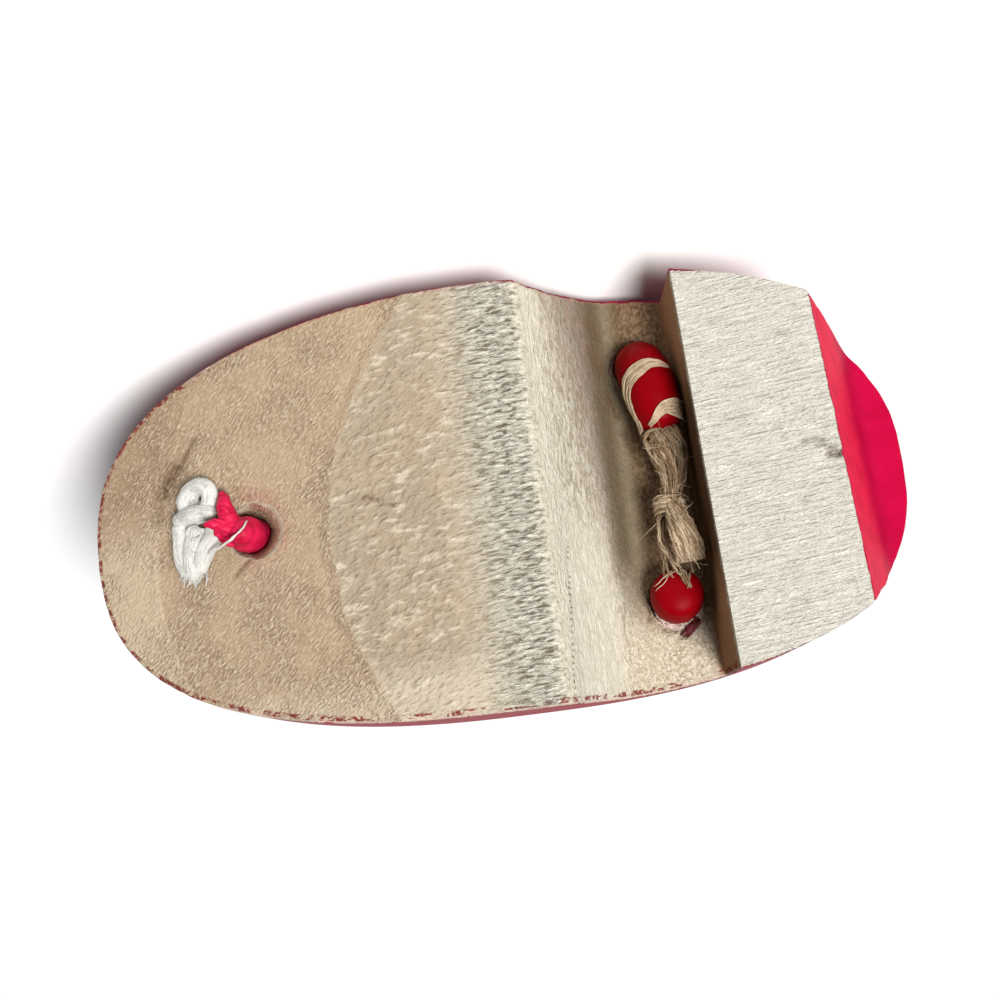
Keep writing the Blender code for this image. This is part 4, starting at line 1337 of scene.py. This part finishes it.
def fibre_material(name, dark, light):
    """Plant fibre: each strand has its own tone, and a finer grain runs over all of them."""
    material, here = new_material(name)
    fibres = grain(here, 3.0, 3.0)
    share = attribute(here, "tone") * 0.6 + grain(here, 0.5, 3.0) * 0.5
    colour = mix(span(share, 0.2, 0.85), dark, light)
    colour = mix(span(fibres, 0.55, 0.3, 0.0, 0.4), colour, dark)
    return finished(material, colour, roughness=0.85, specular=0.1, height=fibres, depth=0.12)


def fold_tube(name, rows):
    """A soft tube through rows of x, y, z and radius, with a domed end."""
    table = smooth_rows(rows, FOLD_STEPS)
    rings = tube_points(table[:, :3], table[:, 3], FOLD_SIDES)
    end, radius = table[-1, :3], table[-1, 3]
    ahead = unit(end - table[-2, :3])
    caps = []
    for angle in np.radians(FOLD_DOME):
        caps.append(end + (rings[-1] - end) * math.cos(angle) + ahead * radius * math.sin(angle))
    return skin(name, np.vstack((rings, np.array(caps))))


def fused(name, meshes, voxel, smoothing):
    """Several closed skins run together into one soft skin."""
    work = bmesh.new()
    for mesh in meshes:
        work.from_mesh(mesh)
    joined = bpy.data.meshes.new(name)
    work.to_mesh(joined)
    work.free()
    thing = new_object(name, joined)
    remesh = thing.modifiers.new("run_together", "REMESH")
    remesh.mode = "VOXEL"
    remesh.voxel_size = voxel * MM
    soft = thing.modifiers.new("soften", "SMOOTH")
    soft.factor = 0.5
    soft.iterations = smoothing
    result = applied(thing)
    result.shade_smooth()
    result.name = name
    return result


# Hemp lashing: sections x, y, z, width and thickness of its bundles
BULGE_SECTIONS = (
    (-30.8, 10.6, 13.6, 6.0, 3.0),
    (-30.9, 8.6, 13.4, 7.6, 4.6),
    (-31.3, 6.0, 13.6, 7.4, 5.0),
    (-31.6, 2.8, 14.0, 5.8, 4.4),
    (-30.9, -1.0, 14.3, 4.0, 3.6),
    (-30.3, -3.6, 14.2, 3.4, 3.4),
    (-30.1, -6.2, 14.0, 3.6, 3.4),
)
TUFT_SECTIONS = (
    (-30.4, -3.8, 12.4, 2.6, 2.2),
    (-30.8, -6.4, 11.4, 3.4, 2.6),
    (-31.4, -9.4, 10.2, 4.8, 3.2),
    (-32.0, -12.6, 10.0, 5.4, 3.2),
    (-32.2, -15.9, 10.6, 5.6, 2.8),
)
LINK_SECTIONS = (
    (-30.0, -4.6, 14.0, 2.6, 2.4),
    (-28.4, -7.4, 14.2, 2.0, 1.6),
    (-27.7, -10.6, 14.4, 1.6, 1.4),
    (-28.4, -13.8, 13.8, 2.2, 1.4),
    (-29.0, -16.6, 12.6, 4.0, 1.2),
    (-29.4, -18.6, 11.4, 5.0, 1.0),
)
KNOT_CENTRE = (-30.2, -5.0, 13.9)
KNOT_SIZE = (6.0, 5.4)
KNOT_TURNS = 3
TURN_STEPS = 60
TURN_REACH = 1.3


def knot_turns(rng, count, radius):
    """Strands wound round the middle of the lashing."""
    strands = []
    for _ in range(count):
        angle = np.linspace(0.0, 2 * math.pi * KNOT_TURNS, TURN_STEPS) + rng.uniform(0.0, 2 * math.pi)
        swell = rng.uniform(0.72, 1.04)
        x = KNOT_CENTRE[0] + KNOT_SIZE[0] / 2 * swell * np.cos(angle)
        z = KNOT_CENTRE[2] + KNOT_SIZE[1] / 2 * swell * np.sin(angle)
        y = KNOT_CENTRE[1] + np.linspace(TURN_REACH, -TURN_REACH, TURN_STEPS)
        y = y + rng.uniform(-0.7, 0.7) + 0.5 * np.cos(angle + 0.8)
        path = np.column_stack((x, y, z))
        strands.append(strand(path, 1.6, 0.3, rng, radius, (0.0, 1.0), (0.7, 1.2)))
    return strands


def curls(rng, count, radius):
    """Loops of cord that stand out at the toe side of the bulge, where the lashing turns back."""
    strands = []
    for _ in range(count):
        lift = rng.uniform(-0.8, 0.8)
        rows = (
            (-30.6, 10.2, 12.6 + lift),
            (-28.6, 10.2, 12.4 + lift),
            (-27.2, 9.2 + rng.uniform(-0.5, 0.5), 13.0 + lift),
            (-27.4, 7.6 + rng.uniform(-0.5, 0.5), 13.4 + lift),
            (-29.0, 6.2, 13.2 + lift),
            (-30.6, 3.6, 13.4 + lift),
            (-30.8, 0.0, 13.8),
        )
        path = smooth_rows(rows, STRAND_STEPS)
        strands.append(strand(path, 1.5, 0.35, rng, radius, (0.2, 1.0), (0.8, 1.3)))
    return strands


WRAP_STEPS = 8


def end_axis(end_rows):
    """Places and radii down the middle of a strap end below the deck."""
    rows = [(x, y, SLOT_TOP - under, size / 2) for x, y, under, size, _ in end_rows]
    rows = smooth_rows(rows, WRAP_STEPS)
    return rows[:, :3], rows[:, 3]


def on_strap(path, end_rows, lift):
    """The path moved on to the skin of a strap end, lifted a little off it."""
    places, radii = end_axis(end_rows)
    tangents = unit(np.gradient(places, axis=0))
    away = np.linalg.norm(path[:, None, :] - places[None, :, :], axis=2)
    nearest = away.argmin(axis=1)
    axis, tangent = places[nearest], tangents[nearest]
    out = path - axis
    along = np.einsum("ij,ij->i", out, tangent)[:, None] * tangent
    out = unit(out - along)
    return axis + along + out * (radii[nearest] + lift)[:, None], out


def wrap(control, end_rows, widths, count, radius, rng):
    """A flat band of strands over the skin of a strap end, with its widths from one end to the other."""
    path = smooth_rows(control, WRAP_STEPS)
    strands = []
    middle, out = on_strap(path, end_rows, np.zeros(len(path)))
    across = np.cross(unit(np.gradient(middle, axis=0)), out)
    fan = np.interp(np.linspace(0.0, 1.0, len(path)), np.linspace(0.0, 1.0, len(widths)), widths)
    for index in range(count):
        shift = (index + rng.uniform(0.0, 1.0)) / count - 0.5
        lift = np.full(len(path), rng.uniform(0.0, 0.35))
        moved, _ = on_strap(middle + across * (shift * fan)[:, None], end_rows, lift)
        strands.append(strand(moved, 2.2, 0.2, rng, radius, (0.45, 1.0), (0.7, 1.4)))
    return strands


# Bands over the left strap end: one from its back over to its toe side and down, one round its tip
SIDE_WRAP = (
    (-33.8, 21.8, 11.4),
    (-32.0, 22.8, 10.2),
    (-29.8, 23.0, 9.6),
    (-27.6, 21.8, 10.2),
    (-26.2, 20.0, 12.0),
    (-26.2, 17.6, 13.2),
    (-26.8, 14.8, 13.6),
    (-28.0, 12.2, 13.8),
    (-29.2, 10.2, 13.6),
)
SIDE_WRAP_WIDTHS = (0.3, 1.6, 2.4, 3.2, 3.4, 3.0, 2.6, 2.6, 2.4)
TIP_WRAP = (
    (-35.4, 13.4, 15.4),
    (-34.8, 13.0, 12.4),
    (-33.2, 13.6, 10.2),
    (-31.4, 13.6, 9.5),
    (-30.0, 12.4, 10.0),
    (-29.2, 10.8, 11.6),
)
TIP_WRAP_WIDTHS = (4.2, 4.0, 3.4, 2.4, 1.4, 0.8)

# Dome of the right strap end: middle, radius, and depth of its cap
BALL_MIDDLE = (-29.5, -21.3, 14.6)
BALL_RADIUS = 4.8
BALL_CAP = 2.7

# Strands laid over the top of the dome, as x and y
BALL_STRANDS = (
    ((-30.4, -16.4), (-30.8, -18.0), (-31.2, -19.4), (-31.5, -20.6)),
    ((-31.2, -16.8), (-31.4, -18.2), (-31.6, -19.6), (-31.2, -20.8)),
    ((-29.6, -16.5), (-30.0, -17.8), (-30.6, -19.2), (-31.0, -20.2)),
    ((-32.2, -17.6), (-31.8, -18.6), (-31.6, -19.8), (-31.9, -20.8)),
)
BALL_HAIRS = (
    ((-25.0, -19.6), (-26.4, -18.6), (-28.0, -17.6), (-29.2, -16.6)),
    ((-25.2, -20.4), (-26.8, -19.4), (-27.8, -18.2), (-28.2, -16.9)),
    ((-27.0, -18.2), (-28.8, -17.4), (-30.4, -17.2), (-31.6, -16.9)),
)


# Numbers of yarns, strands and hairs, and radii of their fibres
BULGE_YARNS = 62
LINK_YARNS = 6
TUFT_YARNS = 78
CURL_STRANDS = 30
TURN_STRANDS = 26
SIDE_WRAP_STRANDS = 46
TIP_WRAP_STRANDS = 42
BALL_REPEATS = 4
BULGE_HAIRS = 60
TUFT_HAIRS = 30
YARN_FIBRE = 0.12
LINK_FIBRE = 0.1
CURL_FIBRE = 0.16
TURN_FIBRE = 0.13
WRAP_FIBRE = 0.09
BALL_FIBRE = 0.16
BALL_HAIR = 0.1
HAIR_FIBRE = 0.05

# Lengths of hairs, and how far below the middle of a bundle they start
BULGE_HAIR = 3.6
BULGE_HAIR_START = 1.0
TUFT_HAIR = 3.2
TUFT_HAIR_START = 0.8
HAIR_START_STEPS = 4

# Share of its tone that the bulge keeps, in the shade under its own strands
SHADED_TONE = 0.5
LASHING_SEED = 11
TUFT_SEED = 12


def over_ball(rows, lift):
    """A path over the dome of the right strap end, from rows of x and y."""
    flat = smooth_rows(rows, STRAND_STEPS)
    away = np.hypot(flat[:, 0] - BALL_MIDDLE[0], flat[:, 1] - BALL_MIDDLE[1]) / BALL_RADIUS
    cap = BALL_CAP * np.sqrt(np.clip(1 - away ** 2, 0.0, 1.0))
    return np.column_stack((flat, BALL_MIDDLE[2] - cap - lift))


def ball_strands(rng):
    """Brown strands pressed on to the dome, and a few pale hairs across its shoulder."""
    strands = []
    for rows in BALL_STRANDS:
        for _ in range(BALL_REPEATS):
            path = over_ball(rows, rng.uniform(0.05, 0.4))
            strands.append(strand(path, 1.4, 0.3, rng, BALL_FIBRE, (0.0, 0.25)))
    for rows in BALL_HAIRS:
        strands.append(strand(over_ball(rows, 0.15), 1.8, 0.25, rng, BALL_HAIR, (0.7, 1.0)))
    return strands


def hair_starts(sections, below):
    return smooth_rows(sections, HAIR_START_STEPS)[:, :3] - (0.0, 0.0, below)


def hemp_lashing():
    rng = np.random.default_rng(LASHING_SEED)
    strands = bundle(BULGE_SECTIONS, BULGE_YARNS, YARN_FIBRE, rng, twist=1.6, loose=0.55)
    strands += curls(rng, CURL_STRANDS, CURL_FIBRE)
    strands = [(path, radii, SHADED_TONE * tone) for path, radii, tone in strands]
    strands += knot_turns(rng, TURN_STRANDS, TURN_FIBRE)
    strands += bundle(LINK_SECTIONS, LINK_YARNS, LINK_FIBRE, rng, twist=2.2, loose=0.6)
    strands += wrap(SIDE_WRAP, LEFT_END_ROWS, SIDE_WRAP_WIDTHS, SIDE_WRAP_STRANDS, WRAP_FIBRE, rng)
    strands += wrap(TIP_WRAP, LEFT_END_ROWS, TIP_WRAP_WIDTHS, TIP_WRAP_STRANDS, WRAP_FIBRE, rng)
    strands += ball_strands(rng)
    starts = hair_starts(BULGE_SECTIONS, BULGE_HAIR_START)
    strands += loose_hairs(starts, BULGE_HAIRS, BULGE_HAIR, HAIR_FIBRE, rng)
    return strand_mesh("hemp_lashing", strands)


def hemp_tuft():
    rng = np.random.default_rng(TUFT_SEED)
    strands = bundle(TUFT_SECTIONS, TUFT_YARNS, YARN_FIBRE, rng, twist=0.5, loose=0.4)
    starts = hair_starts(TUFT_SECTIONS, TUFT_HAIR_START)
    strands += loose_hairs(starts, TUFT_HAIRS, TUFT_HAIR, HAIR_FIBRE, rng)
    return strand_mesh("hemp_tuft", strands)


# Torn rim of the right hole: pale fibres round its near side, and a dark red scrap beside them
TORN_ANGLES = (200.0, 325.0)
TORN_RADII = (4.5, 5.6)
TORN_FIBRES = 40
TORN_STEPS = 14
TORN_SIDES = 6
TORN_SEED = 13
SCRAP = ((-29.8, -29.3, 21.0), (-31.0, -28.4, 20.5), (-32.2, -27.3, 20.4), (-33.4, -26.2, 20.8))
SCRAP_FIBRES = 7
SCRAP_RADIUS = 0.32


def torn_rim():
    rng = np.random.default_rng(TORN_SEED)
    strands = []
    along = np.linspace(-1.0, 1.0, TORN_STEPS)
    for _ in range(TORN_FIBRES):
        start = rng.uniform(*TORN_ANGLES)
        angle = np.radians(start + along * rng.uniform(6.0, 24.0))
        radius = rng.uniform(*TORN_RADII) + 0.5 * along * rng.normal()
        x = RIGHT_HOLE[0] + radius * np.cos(angle)
        y = RIGHT_HOLE[1] + radius * np.sin(angle)
        z = SLOT_TOP - rng.uniform(0.05, 0.75) * np.sin(np.linspace(0.2, 2.9, TORN_STEPS))
        path = np.column_stack((x, y, z))
        strands.append(strand(path, 1.2, 0.15, rng, 1.0, (0.7, 1.0), (0.12, 0.3), (0.2, 0.4)))
    for shift in np.linspace(-0.8, 0.8, SCRAP_FIBRES):
        path = smooth_rows(np.array(SCRAP) + (0.6 * shift, 0.5 * shift, 0.0), 5)
        strands.append(strand(path, 1.6, 0.3, rng, SCRAP_RADIUS, (0.0, 0.12), (), (0.2, 0.35)))
    return strand_mesh("torn_rim", strands, TORN_SIDES)


TORN = fibre_material("torn_wood", (0.10, 0.004, 0.010), (0.62, 0.49, 0.43))
add_piece("torn_rim", torn_rim(), TORN)

HEMP = fibre_material("hemp_fibre", (0.19, 0.115, 0.062), (0.58, 0.455, 0.31))
add_piece("hemp_lashing", hemp_lashing(), HEMP, ("heel_lashing",))
add_piece("hemp_tuft", hemp_tuft(), HEMP, ("lashing_tuft",))


# White toe knot: lumps of soft flattened cord as x, y, height off the slanted forefoot and radius
KNOT_LUMPS = (
    (
        (60.9, 6.2, 1.6, 1.6),
        (61.0, 7.8, 1.7, 1.7),
        (59.8, 9.4, 1.7, 1.7),
        (57.8, 10.1, 1.8, 1.7),
        (56.1, 9.2, 1.9, 1.7),
        (55.8, 7.4, 1.9, 1.6),
        (56.6, 6.0, 1.8, 1.4),
    ),
    ((59.8, 7.9, 1.2, 1.3), (59.4, 6.6, 1.3, 1.5), (58.8, 5.8, 1.4, 1.5)),
    ((54.8, 4.2, 2.6, 1.3), (57.0, 4.5, 2.9, 1.7), (59.6, 4.4, 2.9, 1.8), (62.2, 4.2, 2.2, 1.5)),
    ((62.2, 3.2, 2.0, 1.7), (62.2, 0.4, 1.9, 1.8), (62.3, -2.6, 1.9, 1.8), (61.9, -5.6, 1.8, 1.6)),
    (
        (55.2, 2.8, 1.8, 1.5),
        (55.6, 0.4, 2.0, 1.8),
        (57.2, -1.8, 2.2, 1.9),
        (58.3, -3.6, 2.2, 1.9),
        (59.0, -5.2, 1.9, 1.6),
    ),
    ((58.8, 2.2, 2.0, 1.9), (59.4, -0.4, 2.2, 2.1), (60.2, -3.0, 2.2, 2.0), (60.6, -6.0, 1.9, 1.7)),
)
KNOT_EYE = ((57.2, 0.9), (57.8, 2.1), (59.2, 2.1), (59.9, 0.9), (58.8, -0.2), (57.4, 0.2))
KNOT_EYE_HEIGHT = 4.2
KNOT_END = (60.5, -6.4, 1.7)
KNOT_GRAIN = 0.26
KNOT_SMOOTHING = 4
KNOT_TONE = 0.6
KNOT_FIBRES = 26
KNOT_SEED = 21

# Its other threads: numbers, steps and radii of those round its eye, at its frayed end and drawn from it
EYE_THREADS = 9
EYE_STEPS = 6
EYE_RADIUS = 0.2
FRAYED_THREADS = 80
FRAYED_STEPS = 9
FRAYED_RADIUS = 0.12
STRAY_THREADS = 7
STRAY_RADIUS = 0.13

# Loose hairs on it: number, length, radius, and how far below its lumps' middles they start
COTTON_HAIRS = 40
COTTON_HAIR = 1.6
COTTON_HAIR_RADIUS = 0.045
COTTON_HAIR_START = 1.6

# Thread drawn from the knot across the red cloth
STRAY_THREAD = (
    (57.2, -3.4, 7.0),
    (55.2, -3.0, 5.8),
    (53.4, -2.4, 4.6),
    (52.0, -1.7, 3.9),
    (50.6, -0.7, 3.8),
    (49.7, 0.3, 4.4),
    (49.3, 1.6, 6.0),
)


def off_forefoot(rows):
    """Rows of x, y and height off the forefoot, as places in the shoe's frame, and the way out there."""
    table = np.array(rows, dtype=float)
    slope = np.arctan2(slant_height(table[:, 0] + 1.0) - slant_height(table[:, 0] - 1.0), 2.0)
    places = np.column_stack((table[:, 0], table[:, 1], slant_height(table[:, 0])))
    out = np.column_stack((np.sin(slope), np.zeros(len(table)), -np.cos(slope)))
    return places + out * table[:, 2:3], out


def lump_rows(rows):
    """A lump's rows as x, y, z and radius in the shoe's frame."""
    return np.column_stack((off_forefoot(rows)[0], np.array(rows)[:, 3]))


def lump_fibres(rows, count, rng):
    """Fine soft fibres that lie along the outer side of a lump."""
    table = smooth_rows(rows, STRAND_STEPS)
    path, out = off_forefoot(table)
    out, across = square_to(path, out)
    strands = []
    for _ in range(count):
        angle = rng.uniform(-1.5, 1.5) + rng.normal() * 0.25 * np.linspace(-1.0, 1.0, len(table))
        way = out * np.cos(angle)[:, None] + across * np.sin(angle)[:, None]
        fibre = path + way * (table[:, 3] - rng.uniform(0.0, 0.12))[:, None]
        strands.append(strand(fibre, 1.3, 0.14, rng, 1.0, (0.2, 1.0), (0.09, 0.17)))
    return strands


def frayed_end(rng):
    """Short threads that fan out of the cut end of the cord."""
    tip = off_forefoot((KNOT_END,))[0][0]
    along = np.linspace(0.0, 1.0, FRAYED_STEPS)[:, None]
    threads = []
    for _ in range(FRAYED_THREADS):
        spread = rng.normal(size=3) * (1.1, 0.5, 0.5)
        heading = np.array((0.0, -1.0, 0.1)) + 0.25 * rng.normal(size=3)
        bend = rng.normal(size=3) * 0.35
        thread = tip + spread + heading * along * rng.uniform(0.5, 1.7) + bend * along ** 2
        threads.append((thread, tapered(FRAYED_STEPS, FRAYED_RADIUS, 0.6), rng.uniform(0.2, 1.0)))
    return threads


def toe_cord():
    """The knot's soft mass."""
    lumps = [fold_tube(f"lump_{index}", lump_rows(rows)) for index, rows in enumerate(KNOT_LUMPS)]
    mass = fused("toe_cord", lumps, KNOT_GRAIN, KNOT_SMOOTHING)
    store(mass, "tone", np.full(len(mass.vertices), KNOT_TONE))
    return mass


def toe_cord_threads():
    """The fibres, frayed end and stray thread on the knot."""
    rng = np.random.default_rng(KNOT_SEED)
    threads = []
    for rows in KNOT_LUMPS:
        threads += lump_fibres(rows, KNOT_FIBRES, rng)
    for _ in range(EYE_THREADS):
        ring = [(x, y, KNOT_EYE_HEIGHT + rng.uniform(-0.2, 0.2)) for x, y in KNOT_EYE]
        path = smooth_rows(off_forefoot(ring)[0], EYE_STEPS)
        threads.append(strand(path, 1.5, 0.2, rng, EYE_RADIUS, (0.2, 1.0)))
    threads += frayed_end(rng)
    for _ in range(STRAY_THREADS):
        path = smooth_rows(STRAY_THREAD, STRAND_STEPS)
        threads.append(strand(path, 2.0, 0.28, rng, STRAY_RADIUS, (0.5, 1.0)))
    starts = np.vstack([lump_rows(rows)[:, :3] for rows in KNOT_LUMPS]) - (0.0, 0.0, COTTON_HAIR_START)
    threads += loose_hairs(starts, COTTON_HAIRS, COTTON_HAIR, COTTON_HAIR_RADIUS, rng)
    return strand_mesh("toe_cord_threads", threads)


def cotton_material():
    """Matte off-white cotton: each thread has its own tone, with a little painted shade between the yarns.
    """
    material, here = new_material("cotton_cord")
    yarn = grain(here, 2.4, 4.0)
    share = attribute(here, "tone") * 0.4 + grain(here, 0.45)
    colour = mix(span(share, 0.35, 0.9), (0.44, 0.435, 0.395), (0.61, 0.605, 0.57))
    # Painted shade: a little grey where the yarn dips
    colour = mix(span(yarn, 0.5, 0.3, 0.0, 0.3), colour, (0.36, 0.35, 0.31))
    return finished(material, colour, roughness=0.9, specular=0.1, height=yarn, depth=0.25)


COTTON = cotton_material()
add_piece("toe_cord", toe_cord(), COTTON, ("toe_knot",))
add_piece("toe_cord_threads", toe_cord_threads(), COTTON)


# Red toe loop: a soft band round the strap, its stem through the hole, and the folds that come out below
LOOP_HALF = (6.0, 4.9)
LOOP_CENTRE = (49.5, 0.0, 43.0)
LOOP_SECTION = (5.2, 1.9)
LOOP_FULLNESS = 0.7
LOOP_STEPS = 49
LOOP_SIDES = 20
CLOTH_GRAIN = 0.22
CLOTH_SMOOTHING = 5

# Tubes of the stem and folds: x, y, z and radius
STEM = ((49.5, 0.0, 39.0, 3.2), (49.5, 0.0, 32.0, 3.3), (49.5, 0.0, 20.0, 3.5), (49.6, 0.0, 14.0, 3.4))
BULGE = ((49.8, -0.1, 14.0, 3.3), (50.1, -0.2, 10.6, 3.5), (50.3, -0.3, 8.6, 3.3), (50.5, -0.3, 7.2, 2.5))
FINGER = ((51.8, 0.8, 8.6, 1.9), (52.8, 2.8, 7.4, 1.8), (53.4, 5.0, 7.4, 1.5), (53.6, 7.2, 8.2, 1.0))
TAB = ((52.2, 0.4, 7.8, 1.9), (54.0, 1.2, 6.2, 1.4), (55.6, 1.7, 5.0, 0.9), (56.8, 1.6, 4.6, 0.4))
CREASE = ((52.2, -1.2, 9.0, 1.7), (54.0, -0.8, 8.0, 1.1), (55.2, 0.2, 7.4, 0.7))


def squared(share):
    """A sine or cosine of a section made fuller at its corners."""
    return math.copysign(abs(share) ** LOOP_FULLNESS, share)


def loop_band():
    rings = []
    for angle in np.linspace(0.0, 2 * math.pi, LOOP_STEPS):
        c, s = math.cos(angle), math.sin(angle)
        middle = np.array(LOOP_CENTRE) + (LOOP_HALF[0] * c, 0.0, LOOP_HALF[1] * s)
        out = unit(np.array((c / LOOP_HALF[0], 0.0, s / LOOP_HALF[1])))
        ring = []
        for turn in around_circle(LOOP_SIDES):
            across = LOOP_SECTION[0] / 2 * squared(math.cos(turn))
            wall = LOOP_SECTION[1] / 2 * squared(math.sin(turn))
            ring.append(middle + out * wall + np.array((0.0, across, 0.0)))
        rings.append(ring)
    return skin("loop_band", np.array(rings))


def cloth_folds(mesh):
    """Small creases pressed into the fused skin."""
    points = vectors_of(mesh.vertices, "co") / MM
    normals = vectors_of(mesh.vertices, "normal")
    below = 1 - ease(points[:, 2], 10.0, 14.0)
    creases = np.abs(field(points / (3.4, 1.8, 2.6), 1.0, 31.0))
    folded = below * ease(points[:, 0], 50.6, 52.6)
    lift = folded * (0.15 - 0.42 * np.exp(-(creases / 0.1) ** 2)) + 0.05 * field(points, 1.4, 33.0)
    moved = (points + normals * lift[:, None]) * MM
    mesh.vertices.foreach_set("co", moved.astype(np.float32).ravel())
    mesh.update()


def toe_loop():
    """The band, the stem and the folds run together into one cloth."""
    tubes = {"stem": STEM, "bulge": BULGE, "finger": FINGER, "tab": TAB, "crease": CREASE}
    parts = [loop_band(), *(fold_tube(name, rows) for name, rows in tubes.items())]
    mesh = fused("toe_loop", parts, CLOTH_GRAIN, CLOTH_SMOOTHING)
    cloth_folds(mesh)
    return mesh


LOOP_REDS = ((0.40, 0.003, 0.032), (0.56, 0.010, 0.060), (0.62, 0.06, 0.11))
LOOP = cloth_material(
    "loop_cloth",
    LOOP_REDS,
    blotches=0.35,
    weave=(3.4, 3.0),
    worn=(0.55, 0.75, 0.0, 0.25),
    depth=0.1,
    roughness=0.38,
    specular=0.12,
)
add_piece("toe_loop", toe_loop(), LOOP, ("maetsubo_post",))


# Floor, light and camera
FLOOR_SIZE = 3.0
CAMERA_PLACE = (-1.864, -50.540, -296.190)
CAMERA_VIEW = (-0.02464, 0.23972, 0.97053)
CAMERA_RIGHT = (-0.99174, -0.12810, 0.00646)
CAMERA_DOWN = (0.12587, -0.96235, 0.24090)
PHOTO_FOCAL = 1334.65
AIM_RIGHT = -35.0
AIM_DOWN = 110.0
FOCAL = 1640.0
IMAGE = 1000.0
SENSOR = 36.0
CLIP_START = 0.01


KEY_DIRECTION = (-0.30, -0.783, 0.7675)
KEY_STRENGTH = 4.9
KEY_SPREAD = 20.0
KEY_COLOUR = (1.0, 0.99, 0.975)
WORLD_STRENGTH = 0.12
WORLD_COLOUR = (0.93, 0.96, 1.0, 1.0)
PAPER_TONES = ((0.93, 0.93, 0.93), (0.95, 0.95, 0.95))


def lay_floor():
    half = FLOOR_SIZE / 2
    corners = [(-half, -half, 0.0), (half, -half, 0.0), (half, half, 0.0), (-half, half, 0.0)]
    mesh = bpy.data.meshes.new("floor")
    mesh.from_pydata(corners, [], [(0, 1, 2, 3)])
    material, here = new_material("white_paper")
    colour = mix(span(grain(here, 0.02, 3.0), 0.2, 0.8), *PAPER_TONES)
    mesh.materials.append(finished(material, colour, roughness=0.9, specular=0.5))
    floor = new_object("floor", mesh)


def set_light():
    """A broad far light in front of the sole and above it, and a faint even sky."""
    lamp = bpy.data.lights.new("key", "SUN")
    lamp.energy = KEY_STRENGTH
    lamp.angle = math.radians(KEY_SPREAD)
    lamp.color = KEY_COLOUR
    key = new_object("key", lamp)
    key.rotation_euler = Vector(KEY_DIRECTION).to_track_quat("Z", "Y").to_euler()
    world = bpy.data.worlds.new("studio")
    world.use_nodes = True
    sky = world.node_tree.nodes["Background"].inputs
    sky["Color"].default_value = WORLD_COLOUR
    sky["Strength"].default_value = WORLD_STRENGTH
    bpy.context.scene.world = world
    view = bpy.context.scene.view_settings
    view.view_transform = "Standard"
    view.look = "None"
    view.exposure = 0.0


def set_camera():
    """The photograph's place and roll, with the lens turned and lengthened to frame the one shoe."""
    turn = SHOE.to_3x3()
    right, down = Vector(CAMERA_RIGHT), Vector(CAMERA_DOWN)
    view = Vector(CAMERA_VIEW) * PHOTO_FOCAL + right * AIM_RIGHT + down * AIM_DOWN
    back = -(turn @ view).normalized()
    right = turn @ right
    right = (right - back * right.dot(back)).normalized()
    up = back.cross(right)
    lens = bpy.data.cameras.new("camera")
    lens.sensor_width = SENSOR
    lens.lens = FOCAL / IMAGE * SENSOR
    lens.clip_start = CLIP_START
    camera = new_object("camera", lens)
    placed = Matrix((right, up, back)).transposed().to_4x4()
    camera.matrix_world = Matrix.Translation(SHOE @ (Vector(CAMERA_PLACE) * MM)) @ placed
    bpy.context.scene.camera = camera


lay_floor()
set_light()
set_camera()
